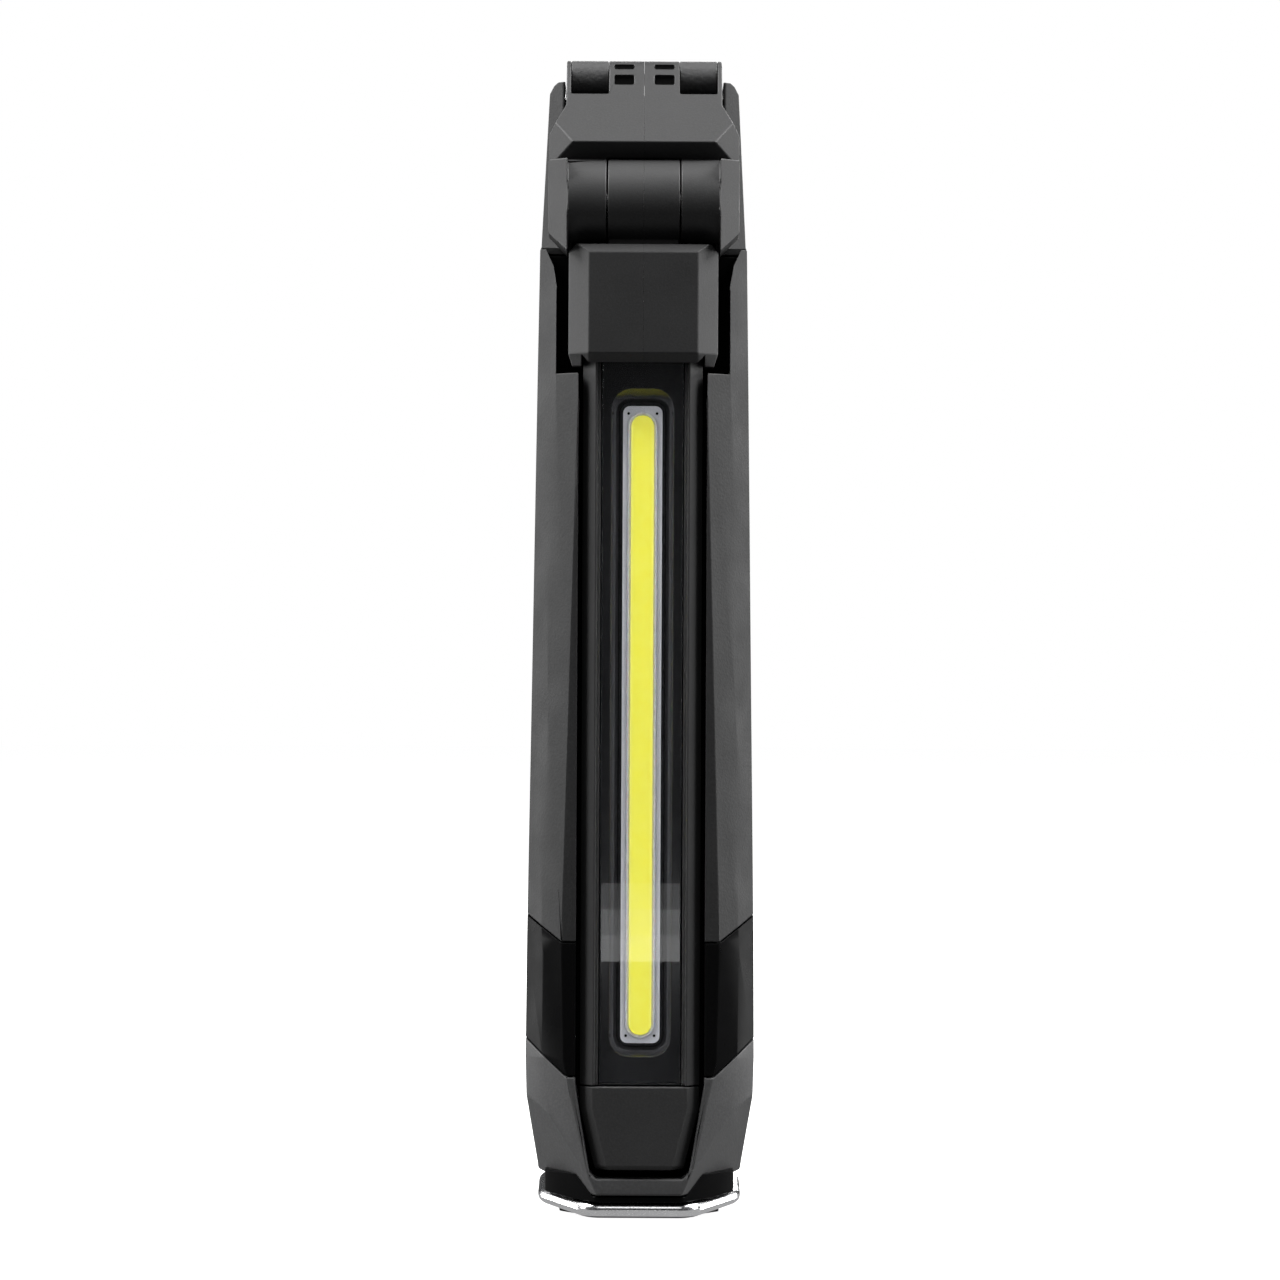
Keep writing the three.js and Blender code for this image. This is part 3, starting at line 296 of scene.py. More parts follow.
def moulded(name, color, roughness, grain, depth, edge_sheen_and_wear=1.35, specular=0.34):
    """A moulded rubber or plastic: grained, slightly uneven in tone, and lighter at its edges, a painted highlight
    together with rubbed wear.
    """
    made = Finish(name, color, roughness)
    made.set("Specular IOR Level", specular)
    broad = made.noise(BROAD_PATCH, 4)
    fine = made.noise(grain * 1.3, 2)
    tone = made.blend(made.spread(broad, 0, 1), scaled(color, 0.9), scaled(color, 1.1))
    speckled = made.blend(made.spread(fine, 0, 1, 0.4, 0.75), tone, scaled(color, 1.25))
    patchy = made.spread(made.noise(3 * MM), 0.35, 1)
    # painted highlight and wear: the edges are lightened for the light they catch and for rubbing
    sheen_and_rubbed = made.combine("MULTIPLY", made.edges(SHEEN_AND_WEAR_EDGE), patchy)
    made.link(made.blend(sheen_and_rubbed, speckled, scaled(color, edge_sheen_and_wear)), "Base Color")
    made.link(made.spread(made.noise(9 * MM, 5), roughness - 0.05, roughness + 0.05), "Roughness")
    cell = made.combine("MULTIPLY", made.cells(grain), GRAIN_SHARE)
    pitted = made.combine("MULTIPLY", made.noise(grain * 0.8, 2), 1 - GRAIN_SHARE)
    made.bump(made.combine("ADD", cell, pitted), depth)
    return made.material


# %% [markdown]
# ## Rubber and plastic
# The grips and the bumper are a soft rubber with a fine spark-eroded grain.  The casing between
# them is smooth black.  The link, the cap and the blade are a harder, finer-grained plastic, and
# the hinge knuckles are a coarser coated casting.

# %% Rubber and plastic finishes
GREY = (0.02, 0.02, 0.0203)
BLACK = (0.003, 0.003, 0.0031)
# the last factor lightens each finish's edges: a painted edge highlight together with wear
grip_rubber = moulded("grip_rubber", scaled(GREY, 0.8), 0.62, 0.5 * MM, 0.05 * MM, specular=0.26)
bumper_rubber = moulded("bumper_rubber", scaled(GREY, 2.2), 0.6, 0.38 * MM, 0.03 * MM)
moulded_plastic = moulded("moulded_plastic", scaled(GREY, 0.95), 0.55, 0.3 * MM, 0.02 * MM)
casing_plastic = moulded("casing_plastic", BLACK, 0.3, 0.25 * MM, 0.004 * MM, edge_sheen_and_wear=2.0, specular=0.02)
coated_casting = moulded("coated_casting", scaled(GREY, 1.5), 0.6, 0.8 * MM, 0.12 * MM, edge_sheen_and_wear=1.6)
control_rubber = moulded("control_rubber", scaled(GREY, 0.3), 0.6, 0.3 * MM, 0.015 * MM)
print("six moulded finishes")

# %% [markdown]
# ## Gloss black, clear plastic and metal
# The reflector is polished black plastic, with the faint waviness of a moulded gloss.  The lens is
# a thin clear sheet that mirrors the room and lets light through.  The bail is polished rod with
# drawing lines along it, and the screws are plain turned steel.  One function serves each family,
# because their finishes differ only in colour, polish and the direction of their lines.

# %% Gloss, lens and metal finishes
CLEAR_IOR = 1.36  # a coated sheet mirrors less than bare plastic


def gloss_black(name, color, roughness):
    made = Finish(name, color, roughness)
    made.link(made.spread(made.noise(5 * MM, 6), roughness * 0.6, roughness * 1.6), "Roughness")
    haze = made.noise(14 * MM, 3)
    made.link(made.blend(made.spread(haze, 0, 1), color, scaled(color, 1.6)), "Base Color")
    made.bump(made.noise(3 * MM, 1), 0.01 * MM, 0.5)
    return made.material


def clear_plastic(name, tint):
    made = Finish(name, tint, 0.0)
    made.set("Transmission Weight", 1.0)
    made.set("IOR", CLEAR_IOR)
    haze = made.spread(made.noise(6 * MM, 4), 0, 1)
    made.link(made.blend(haze, scaled(tint, 0.97), tint), "Base Color")
    return made.material


def drawn_metal(name, color, roughness, along, line=0.12 * MM):
    """Metal with fine lines along one direction, given as a scale that stretches the noise."""
    made = Finish(name, color, roughness, metallic=1.0)
    lines = made.noise(line, 2, made.stretched(along))
    made.link(made.spread(lines, roughness * 0.6, roughness * 1.8), "Roughness")
    smudge = made.noise(6 * MM, 5)
    made.link(made.blend(made.spread(smudge, 0, 1), scaled(color, 0.88), color), "Base Color")
    made.bump(lines, 0.004 * MM, 0.6)
    return made.material


reflector_black = gloss_black("reflector_black", (0.006, 0.006, 0.0065), 0.1)
lens_clear = clear_plastic("lens_clear", (0.93, 0.94, 0.95))
gauge_clear = clear_plastic("gauge_clear", (0.25, 0.27, 0.28))
polished_rod = drawn_metal("polished_rod", (0.9, 0.9, 0.91), 0.16, (1, 0.15, 1))
turned_steel = drawn_metal("turned_steel", (0.5, 0.5, 0.51), 0.28, (1, 0.1, 1))
nickel_plate = drawn_metal("nickel_plate", (0.6, 0.6, 0.61), 0.18, (1, 1, 0.2))
black_anodised = drawn_metal("black_anodised", (0.05, 0.05, 0.053), 0.35, (1, 1, 0.05))
print("seven gloss, clear and metal finishes")

# %% [markdown]
# ## The light strip's finishes
# A strip light is a white coated board with a bead of silicone round a yellow phosphor gel.  Unlit,
# the gel is a strong lemon yellow, a little cloudy, and slightly paler where it thins at the edge.
# A phosphor also turns blue room light into yellow light.  A plain colour can't be brighter than
# what falls on it, so a little painted glow stands for that: a fixed emission that glows the same under any light.

# %% Strip finishes
PAINTED_PHOSPHOR_GLOW = 0.27  # a painted glow of fixed strength, standing in for what the phosphor gives back of the blue light that falls on it


def strip_board(name):
    made = Finish(name, (0.76, 0.76, 0.8), 0.4)
    weave = made.spread(made.noise(0.35 * MM, 3), 0, 1)
    made.link(made.blend(weave, (0.72, 0.725, 0.77), (0.8, 0.8, 0.85)), "Base Color")
    made.bump(made.noise(0.2 * MM, 2), 0.008 * MM)
    return made.material


def silicone(name):
    made = Finish(name, (0.7, 0.7, 0.7), 0.35)
    made.set("Subsurface Weight", 0.15)
    made.set("Subsurface Scale", 0.4 * MM)
    milky = made.spread(made.noise(1.5 * MM), 0, 1)
    made.link(made.blend(milky, (0.74, 0.74, 0.76), (0.88, 0.88, 0.9)), "Base Color")
    made.bump(made.noise(1.2 * MM, 2), 0.03 * MM)
    return made.material


def phosphor_gel(name):
    made = Finish(name, (0.95, 0.9, 0.06), 0.3)
    cloud = made.spread(made.noise(2.5 * MM, 4), 0, 1)
    body = made.blend(cloud, (0.93, 0.88, 0.045), (0.97, 0.93, 0.085))
    across = made.tree.nodes.new("ShaderNodeSeparateXYZ")
    made.link(made.place, across.inputs[0])
    off_middle = made.combine("ABSOLUTE", across.outputs["X"], 0.0)
    thin = made.spread(off_middle, 0, 0.6, 1.7 * MM, 2.3 * MM)
    made.link(made.blend(thin, body, (0.95, 0.93, 0.32)), "Base Color")
    # painted glow: a fixed yellow emission, the same whether the gel is lit or not
    made.set("Emission Color", (1.0, 0.95, 0.16, 1))
    made.set("Emission Strength", PAINTED_PHOSPHOR_GLOW)
    made.bump(made.noise(0.5 * MM, 3), 0.015 * MM)
    return made.material


board_white = strip_board("board_white")
dam_silicone = silicone("dam_silicone")
phosphor_yellow = phosphor_gel("phosphor_yellow")
circuit_green = gloss_black("circuit_green", (0.015, 0.09, 0.035), 0.3)
cell_wrap = gloss_black("cell_wrap", (0.03, 0.14, 0.42), 0.22)
print("five strip and inner finishes")

# %% [markdown]
# ## Moulded pieces with rounded edges
# No moulded edge is sharp: the tool leaves a small radius that catches a thin line of light.  Each
# shell takes its shape from its frame node: its triangles are merged into clean flats, and a bevel
# rounds the edges that turn sharply.  Flats keep their own normals, so they stay flat in the
# reflections.  Modelling every shell again with rounded edges would also work, but then a change of
# size would have to be made twice.

# %% Rounding helper
BEVEL_ANGLE = math.radians(24)  # an edge that turns by more than this is rounded
FLAT_ANGLE = math.radians(0.1)
TWIST_ANGLE = math.radians(1.2)  # how far a long lofted face may twist and still be one face
FLATS_WEIGHT = 50  # the neutral setting: a face counts by its area alone
MERGE_REACH = 0.002 * MM
SLIVER_REACH = 0.02 * MM
LEVEL_REACH = 0.01 * MM  # a point this near a level plane counts as on it
SEAM_REACH = 0.2 * MM  # how near the middle plane a point of a seam lies
SEAM_SHARE = 0.15  # the share of the full radius on a seam's edges
NARROW_SHARE = 0.45  # how much of a narrow face's width one rounded edge may take


def adopt(piece, body, material, slot, *replaced):
    """The lines that every finished piece needs: finish, body and the nodes it stands for; slot is not used."""
    piece.data.materials.clear()
    piece.data.materials.append(material)
    if not piece.users_collection:
        bpy.context.collection.objects.link(piece)
    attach(piece, body)
    if replaced:
        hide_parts(*replaced)


def clean_copy(node, flat_angle=FLAT_ANGLE):
    """The node's mesh as a bmesh with merged points and its flats dissolved into single faces."""
    built = bmesh.new()
    built.from_mesh(nodes[node].data)
    bmesh.ops.remove_doubles(built, verts=built.verts, dist=MERGE_REACH)
    bmesh.ops.dissolve_degenerate(built, edges=built.edges, dist=SLIVER_REACH)
    bmesh.ops.dissolve_limit(built, angle_limit=flat_angle, verts=built.verts, edges=built.edges)
    return built


def close_seam(built, half_gap=0.02 * MM):
    """Move the seam faces of two halves together, as screws do, so that they meet in a hairline."""
    for vert in built.verts:
        if abs(vert.co.x) < SEAM_REACH:
            vert.co.x = math.copysign(half_gap, vert.co.x)


def slice_level(built, step=6 * MM, clear=1.2 * MM):
    """Cut long faces with level planes, so that a face that twists slightly is shaded smoothly."""
    levels = [vert.co.z for vert in built.verts]
    for i in range(1, int((max(levels) - min(levels)) / step) + 1):
        height = min(levels) + i * step
        if all(abs(height - level) > clear for level in levels):
            parts = built.verts[:] + built.edges[:] + built.faces[:]
            plane = (0, 0, height)
            bmesh.ops.bisect_plane(built, geom=parts, plane_co=plane, plane_no=(0, 0, 1), dist=LEVEL_REACH)


def edge_share(edge, radius):
    """Less rounding for an edge beside a face that is too narrow for the full radius."""
    width = min(face.calc_area() for face in edge.link_faces) / edge.calc_length()
    return min(1.0, NARROW_SHARE * width / radius)


def rounded(node, body, material, slot, radius, seam=False, widen=None, sliced=False, even=False):
    """A frame node with its sharp edges rounded, by a radius in millimetres.

    seam closes the gap of two halves, widen moves points along x, sliced is for long lofted faces,
    and even keeps the full radius on every edge.
    """
    built = clean_copy(node, TWIST_ANGLE if sliced else FLAT_ANGLE)
    if seam:
        close_seam(built)
    if widen:
        for vert in built.verts:
            vert.co.x = widen(vert.co.x)
    if sliced:
        slice_level(built)
    weights = built.edges.layers.float.new("bevel_weight_edge")
    for edge in built.edges:
        if len(edge.link_faces) == 2 and edge.calc_face_angle() > BEVEL_ANGLE:
            middle_x = (edge.verts[0].co.x + edge.verts[1].co.x) / 2
            edge[weights] = 1.0 if even else edge_share(edge, radius * MM)
            if seam and abs(middle_x) < SEAM_REACH:
                edge[weights] = SEAM_SHARE
    if sliced:
        crowded = [face for face in built.faces if len(face.verts) > 4]
        bmesh.ops.triangulate(built, faces=crowded, ngon_method="BEAUTY")
    mesh = bpy.data.meshes.new(f"{node}_skin")
    built.to_mesh(mesh)
    built.free()
    mesh.polygons.foreach_set("use_smooth", [True] * len(mesh.polygons))
    piece = bpy.data.objects.new(f"{node}_skin", mesh)
    bevel = piece.modifiers.new("round", "BEVEL")
    bevel.width = radius * MM
    bevel.segments = 3
    bevel.limit_method = "WEIGHT"
    bevel.use_clamp_overlap = False
    bevel.miter_outer = "MITER_ARC"
    flats = piece.modifiers.new("flats", "WEIGHTED_NORMAL")
    flats.mode = "FACE_AREA"
    flats.weight = FLATS_WEIGHT
    adopt(piece, body, material, slot, node)
    return piece


# %% Handle shells
SHELLS = [  # the node, its finish, its slot and the radius of its edges in millimetres
    ("grip_left", grip_rubber, "grip_rubber", 0.22),
    ("grip_right", grip_rubber, "grip_rubber", 0.22),
    ("bumper", bumper_rubber, "bumper_rubber", 0.4),
    ("front_shell", casing_plastic, "casing_plastic", 0.2),
    ("rear_shell", casing_plastic, "casing_plastic", 0.2),
    ("base_block", casing_plastic, "casing_plastic", 0.3),
    ("hinge_bracket", coated_casting, "bracket_metal", 0.25),
    ("rear_magnet_cover", control_rubber, "control_rubber", 0.4),
]
KNUCKLE_INNER = 7.4 * MM
KNUCKLE_OUTER = 14.7 * MM
KNUCKLE_PLAY = 0.16 * MM  # a real knuckle nearly touches its neighbours
KNUCKLE_REACH = 0.05 * MM


def knuckle_ends(x):
    """Move the end faces of the hinge knuckles out to their neighbours."""
    if abs(abs(x) - KNUCKLE_INNER) < KNUCKLE_REACH:
        return math.copysign(KNUCKLE_INNER - KNUCKLE_PLAY, x)
    if abs(abs(x) - KNUCKLE_OUTER) < KNUCKLE_REACH:
        return math.copysign(KNUCKLE_OUTER + KNUCKLE_PLAY, x)
    return x


for node, material, slot, radius in SHELLS:
    ends = knuckle_ends if node == "hinge_bracket" else None
    lofted = node.startswith(("grip", "bumper", "front"))
    even = node != "base_block"
    rounded(node, "handle", material, slot, radius, widen=ends, sliced=lofted, even=even)
print(len(SHELLS), "handle shells rounded")

# %% Link, cap and blade shells
for side in ("left", "right"):
    rounded(f"link_{side}", "link", moulded_plastic, "moulded_plastic", 0.3, seam=True)
    rounded(f"cap_{side}", "blade", moulded_plastic, "moulded_plastic", 0.25, seam=True)
rounded("blade_frame", "blade", moulded_plastic, "moulded_plastic", 0.15)
rounded("blade_tip", "blade", moulded_plastic, "moulded_plastic", 0.25)
rounded("power_button", "power_button", control_rubber, "control_rubber", 0.5)
rounded("port_cover", "port_cover", control_rubber, "control_rubber", 0.4)
rounded("reflector", "blade", reflector_black, "reflector_black", 0.15, sliced=True)
lens = rounded("lens", "blade", lens_clear, "lens_clear", 0.25)
lens.visible_shadow = False  # a clear sheet lets the lamps through to the strip
rounded("charge_gauge_lens", "handle", gauge_clear, "gauge_lens", 0.15)
print("link, blade and controls rounded")

# %% [markdown]
# ## Pieces that repeat or follow a path
# Screws, ribs, studs and bent rod all follow a rule, so Geometry Nodes make them: a tree takes
# its sizes as named inputs and a host mesh as the path or the places, and a change of size is one
# number.  Drawing each by hand would also work, but then fourteen screws are fourteen jobs.  Each
# result is turned into a plain mesh before it joins the light.

# %% Growth helper
class Growth:
    """A Geometry Nodes tree being built: named inputs, and a short way to add linked nodes."""

    def __init__(self, name, **kinds):
        self.tree = bpy.data.node_groups.new(name, "GeometryNodeTree")
        face = self.tree.interface
        face.new_socket("Host", in_out="INPUT", socket_type="NodeSocketGeometry")
        face.new_socket("Piece", in_out="OUTPUT", socket_type="NodeSocketGeometry")
        self.identifiers = {}
        for label, kind in {**kinds, "Finish": "Material"}.items():
            socket = face.new_socket(label, in_out="INPUT", socket_type=f"NodeSocket{kind}")
            self.identifiers[label] = socket.identifier
        self.inputs = self.tree.nodes.new("NodeGroupInput").outputs
        self.exit = self.tree.nodes.new("NodeGroupOutput").inputs["Piece"]

    def add(self, kind, links, **settings):
        """A node of the tree; its output goes on to the next one."""
        family = "ShaderNode" if kind in ("CombineXYZ", "Math") else "GeometryNode"
        node = self.tree.nodes.new(family + kind)
        for setting, value in settings.items():
            setattr(node, setting, value)
        for name, source in links.items():
            sources = source if isinstance(source, list) else [source]
            for one in sources:
                if isinstance(one, bpy.types.NodeSocket):
                    self.tree.links.new(one, node.inputs[name])
                else:
                    node.inputs[name].default_value = one
        return node.outputs[0]

    def close(self, geometry):
        """The end of every tree: real copies instead of instances, and the finish."""
        whole = self.add("RealizeInstances", {"Geometry": geometry})
        painted = self.add("SetMaterial", {"Geometry": whole, "Material": self.inputs["Finish"]})
        self.tree.links.new(painted, self.exit)


def grown(name, growth, points, edges, finish, **sizes):
    """Run a tree on a host of points and edges, and keep the result as a plain mesh."""
    mesh = bpy.data.meshes.new(name)
    mesh.from_pydata([tuple(point) for point in points], edges, [])
    piece = bpy.data.objects.new(name, mesh)
    bpy.context.collection.objects.link(piece)
    grower = piece.modifiers.new("grow", "NODES")
    grower.node_group = growth.tree
    for label, value in {**sizes, "Finish": finish}.items():
        grower[growth.identifiers[label]] = value
    graph = bpy.context.evaluated_depsgraph_get()
    result = bpy.data.meshes.new_from_object(piece.evaluated_get(graph))
    piece.modifiers.remove(grower)
    piece.data = result
    print(name, "grown with", len(result.polygons), "faces")
    return piece


def soften(piece, radius):
    """Round a grown piece's sharp edges and keep its flats flat in the light."""
    piece.data.polygons.foreach_set("use_smooth", [True] * len(piece.data.polygons))
    bevel = piece.modifiers.new("round", "BEVEL")
    bevel.width = radius * MM
    bevel.segments = 2
    bevel.limit_method = "ANGLE"
    bevel.angle_limit = BEVEL_ANGLE
    flats = piece.modifiers.new("flats", "WEIGHTED_NORMAL")
    flats.weight = FLATS_WEIGHT


# %% [markdown]
# ## Bent rod
# The bail under the base is one length of polished steel rod, bent in a former, so every bend has
# the same radius.  A curve swept with a round section gives exactly that.  The same tree, on a
# closed path, lays the bead of silicone round the phosphor.

# %% Bent rod tree, the bail and the silicone bead
bent_rod = Growth("bent_rod", Radius="Float", Bend="Float", Sides="Int")
route = bent_rod.add("MeshToCurve", {"Mesh": bent_rod.inputs["Host"]})
BEND_STEPS = 12
fillet = {"Curve": route, "Radius": bent_rod.inputs["Bend"], "Count": BEND_STEPS, "Limit Radius": True}
filleted = bent_rod.add("FilletCurve", fillet, mode="POLY")
circle = {"Resolution": bent_rod.inputs["Sides"], "Radius": bent_rod.inputs["Radius"]}
section = bent_rod.add("CurvePrimitiveCircle", circle)
swept = bent_rod.add("CurveToMesh", {"Curve": filleted, "Profile Curve": section, "Fill Caps": True})
bent_rod.close(bent_rod.add("SetShadeSmooth", {"Geometry": swept}))

WIRE = 1.58 * MM  # the rod's radius
BEND = 4.5 * MM  # the radius of its bends
FRONT_BAR = 10 * MM  # half the straight bar at the front
CORNER_BACK = 11.4 * MM  # from the front bar back to the side bars
SOCKET_DEPTH = 5.4 * MM  # from a side bar into the base

bail_low, bail_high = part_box("bail")
pivot = Vector(next(joint["pos_m"] for joint in frame["joints"] if joint["name"] == "bail_swing"))
side_x = bail_high.x - WIRE
front_y, front_z = bail_low.y + WIRE, bail_low.z + WIRE


def on_bail(x, y):
    """A point of the bail's plane, which runs through its pivots and its front bar."""
    return Vector((x, y, front_z + (pivot.z - front_z) * (y - front_y) / (pivot.y - front_y)))


half_route = [
    (side_x - SOCKET_DEPTH, pivot.y),
    (side_x, pivot.y),
    (side_x, front_y + CORNER_BACK),
    (FRONT_BAR, front_y),
]
bail_points = [on_bail(x, y) for x, y in half_route] + [on_bail(-x, y) for x, y in reversed(half_route)]
bail_edges = [(i, i + 1) for i in range(len(bail_points) - 1)]
bail = grown("bail_rod", bent_rod, bail_points, bail_edges, polished_rod, Radius=WIRE, Bend=BEND, Sides=48)
adopt(bail, "bail", polished_rod, "bail_steel", "bail")

BEAD = 0.35 * MM  # the bead's radius
dam_low, dam_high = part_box("led_dam")
bead_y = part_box("led_board")[0].y
bead_x = dam_high.x - BEAD
bead_low, bead_high = dam_low.z + BEAD, dam_high.z - BEAD
corners = [(-1, bead_low), (1, bead_low), (1, bead_high), (-1, bead_high)]
bead_points = [(sign * bead_x, bead_y, z) for sign, z in corners]
bead_edges = [(i, (i + 1) % 4) for i in range(4)]
bead_size = {"Radius": BEAD, "Bend": bead_x, "Sides": 16}
dam = grown("silicone_dam", bent_rod, bead_points, bead_edges, dam_silicone, **bead_size)
adopt(dam, "blade", dam_silicone, "led_board_white", "led_dam")

# %% [markdown]
# ## Screws
# Each screw is a turned head with a hexagonal socket on a plain shank.  One tree makes the screw
# from cylinders with a boolean, and stands a copy on each point of its host.  The thread is left
# out, because it is always hidden in its hole.

# %% Screw tree and the screws
SCREW_SIZES = ("HeadRadius", "HeadHeight", "ShankRadius", "ShankLength", "SocketRadius", "SocketDepth")
screw = Growth("screw", Turn="Vector", **dict.fromkeys(SCREW_SIZES, "Float"))
sizes = screw.inputs


def cylinder(sides, radius, length):
    """One part of the screw, round the origin, from two of the tree's inputs."""
    return screw.add("MeshCylinder", {"Vertices": sides, "Radius": sizes[radius], "Depth": sizes[length]})


def lowered(part, length, share):
    """A part moved down by a share of its length."""
    drop = screw.add("Math", {0: length, 1: -share}, operation="MULTIPLY")
    return screw.add("Transform", {"Geometry": part, "Translation": screw.add("CombineXYZ", {"Z": drop})})


head = lowered(cylinder(40, "HeadRadius", "HeadHeight"), sizes["HeadHeight"], 0.5)
shank = lowered(cylinder(24, "ShankRadius", "ShankLength"), sizes["ShankLength"], 0.52)
socket = cylinder(6, "SocketRadius", "SocketDepth")
solid = screw.add("MeshBoolean", {"Mesh 2": [head, shank]}, operation="UNION")
cut = screw.add("MeshBoolean", {"Mesh 1": solid, "Mesh 2": socket}, operation="DIFFERENCE")
turned = screw.add("Transform", {"Geometry": cut, "Rotation": sizes["Turn"]})
screw.close(screw.add("InstanceOnPoints", {"Points": sizes["Host"], "Instance": turned}))

FACING = {  # the turn that points a screw's head each way
    "rear": (-math.pi / 2, 0, 0),
    "down": (math.pi, 0, 0),
    "up": (0, 0, 0),
    "right": (0, math.pi / 2, 0),
}
PLAIN_HEAD = (2.38, 1.6)  # radius and height in millimetres
FLAT_HEAD = (2.38, 0.7)
SMALL_HEAD = (1.98, 0.7)
SHANK_RADIUS = 1.15
SOCKET_RADIUS = 1.1
SOCKET_SHARE = 0.6  # how deep a socket goes into its head
SOCKET_LIMIT = 0.9
HEAD_EDGE = 0.12


def head_top(node, facing):
    """The middle of a screw's outer face."""
    a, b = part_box(node)
    middle = (a + b) / 2
    if facing == "rear":
        return Vector((middle.x, b.y, middle.z))
    if facing == "down":
        return Vector((middle.x, middle.y, a.z))
    if facing == "up":
        return Vector((middle.x, middle.y, b.z))
    return Vector((b.x, middle.y, middle.z))


def screws(name, body, facing, names, head_size, shank_length):
    """The screws of one place as one piece; half of a socket's cutter stands above the head."""
    places = [head_top(node, facing) for node in names]
    radius, height = head_size
    socket_depth = 2 * min(SOCKET_LIMIT, SOCKET_SHARE * height)
    lengths = (radius, height, SHANK_RADIUS, shank_length, SOCKET_RADIUS, socket_depth)
    measures = {label: length * MM for label, length in zip(SCREW_SIZES, lengths)}
    piece = grown(name, screw, places, [], turned_steel, Turn=FACING[facing], **measures)
    soften(piece, HEAD_EDGE)
    adopt(piece, body, turned_steel, "screw_steel", *names)


SIDES = ("left", "right")
shell_names = [f"shell_screw_{row}_{side}" for row in ("lower", "upper") for side in SIDES]
screws("shell_screws", "handle", "rear", shell_names, PLAIN_HEAD, 18)
screws("base_screws", "handle", "down", [f"base_screw_{side}" for side in SIDES], PLAIN_HEAD, 16)
screws("bracket_screws", "handle", "up", [f"bracket_screw_{side}" for side in SIDES], PLAIN_HEAD, 10.5)
screws("link_cross_screw", "link", "right", ["link_screw"], PLAIN_HEAD, 22)
screws("cap_cross_screw", "blade", "right", ["cap_screw"], PLAIN_HEAD, 22)
plate_names = [f"back_plate_screw_{row}" for row in ("lower", "upper")]
screws("back_plate_screws", "blade", "rear", plate_names, FLAT_HEAD, 4.9)
screws("tip_screws", "blade", "rear", [f"tip_screw_{side}" for side in SIDES], SMALL_HEAD, 7.2)

# %% [markdown]
# ## Ribs and studs
# A thumb finds the power button by its three ribs, and the port cover by two ribs at its free edge.
# The board's four solder points and the four lamps of the charge gauge are small round studs.  Both
# are one simple shape set out again and again, so one tree makes the bars and another the discs.

# %% Rib and stud trees
rib_row = Growth("rib_row", Start="Vector", Step="Vector", Count="Int", Length="Vector", Radius="Float")
row = rib_row.inputs
spacing = {"Count": row["Count"], "Start Location": row["Start"], "Offset": row["Step"]}
places = rib_row.add("MeshLine", spacing)
spine = rib_row.add("CurvePrimitiveLine", {"End": row["Length"]})
rib_section = rib_row.add("CurvePrimitiveCircle", {"Resolution": 20, "Radius": row["Radius"]})
rib = rib_row.add("CurveToMesh", {"Curve": spine, "Profile Curve": rib_section, "Fill Caps": True})
rib_row.close(rib_row.add("InstanceOnPoints", {"Points": places, "Instance": rib}))

studs = Growth("studs", Turn="Vector", Radius="Float", Height="Float")
stud = studs.inputs
disc = studs.add("MeshCylinder", {"Vertices": 24, "Radius": stud["Radius"], "Depth": stud["Height"]})
faced = studs.add("Transform", {"Geometry": disc, "Rotation": stud["Turn"]})
studs.close(studs.add("InstanceOnPoints", {"Points": stud["Host"], "Instance": faced}))

RIB_RADIUS = 0.38 * MM
RIB_SINK = 0.1 * MM  # how far a rib's middle lies under the face


def ribs(name, node, body, count, half_length, step, rise):
    """A row of ribs across the rear face of a control, in millimetres, rise above its middle."""
    a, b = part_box(node)
    lowest = (a.z + b.z) / 2 + rise * MM - step * MM * (count - 1) / 2
    start = Vector((-half_length * MM, b.y - RIB_SINK, lowest))
    layout = {"Start": start, "Step": (0, 0, step * MM), "Count": count}
    shape = {"Length": (2 * half_length * MM, 0, 0), "Radius": RIB_RADIUS}
    piece = grown(name, rib_row, [(0, 0, 0)], [], control_rubber, **layout, **shape)
    soften(piece, 0.2)
    adopt(piece, body, control_rubber, "control_rubber")


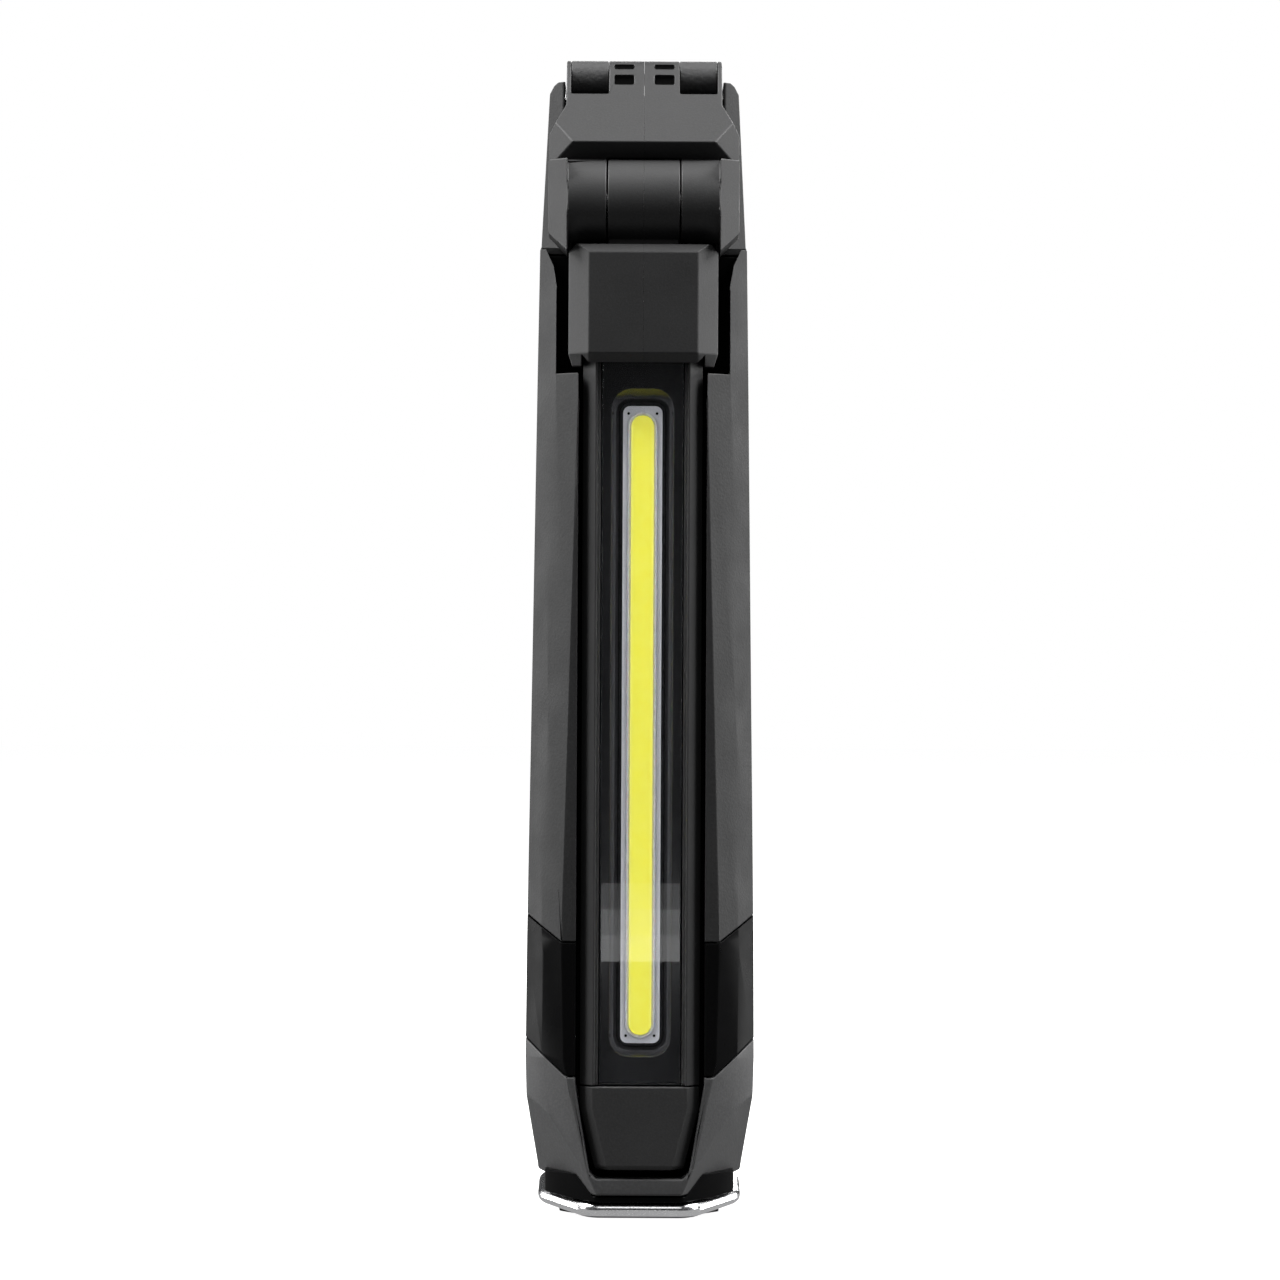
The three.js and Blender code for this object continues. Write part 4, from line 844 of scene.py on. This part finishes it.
ribs("button_ribs", "power_button", "power_button", 3, 3.2, 2.2, 0)
ribs("port_cover_ribs", "port_cover", "port_cover", 2, 5, 1.6, 4.6)

# %% Solder points
board_low, board_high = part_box("led_board")
STUD_IN = Vector((1.1, 0, 1.5)) * MM  # from the board's corners in to the solder points
UPRIGHT = (math.pi / 2, 0, 0)  # turns a flat disc to face the front and the back
stud_x = board_high.x - STUD_IN.x
stud_rows = (board_low.z + STUD_IN.z, board_high.z - STUD_IN.z)
stud_points = [(x, board_low.y, z) for x in (-stud_x, stud_x) for z in stud_rows]
stud_size = {"Turn": UPRIGHT, "Radius": 0.28 * MM, "Height": 0.16 * MM}
solder = grown("solder_studs", studs, stud_points, [], casing_plastic, **stud_size)
adopt(solder, "blade", casing_plastic, "led_board_white")

# %% Charge gauge lamps
gauge_low, gauge_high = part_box("charge_gauge_lens")
PIPS = 4
PIP_SINK = 0.4 * MM  # from the gauge's inner face out to the middle of a pip
pip_step = (gauge_high.z - gauge_low.z) / (PIPS + 1)
pip_points = [(0, gauge_low.y + PIP_SINK, gauge_low.z + pip_step * (i + 1)) for i in range(PIPS)]
pip_size = {"Turn": UPRIGHT, "Radius": 0.6 * MM, "Height": 0.4 * MM}
pips = grown("gauge_pips", studs, pip_points, [], board_white, **pip_size)
adopt(pips, "handle", board_white, "led_board_white")

# %% [markdown]
# ## Pieces kept as they are
# Pins, washers, magnets, boards, cells and plates already have their true shape, and most of them
# are hidden.  They keep their frame solids and only take a finish, found by their slot.

# %% Finishes for kept nodes
KEPT = {
    "screw_steel": turned_steel,
    "magnet_nickel": nickel_plate,
    "back_plate_aluminium": black_anodised,
    "led_board_white": board_white,
    "phosphor_yellow": phosphor_yellow,
    "circuit_board": circuit_green,
    "cell_wrap": cell_wrap,
    "casing_plastic": casing_plastic,
}
slot_of = {part["node"]: part["material_slot"] for part in frame["record"]["subparts"]}
for name, node in nodes.items():
    if node.hide_render:
        continue
    node.data.materials.clear()
    node.data.materials.append(KEPT[slot_of[name]])
print(sum(not node.hide_render for node in nodes.values()), "nodes kept")
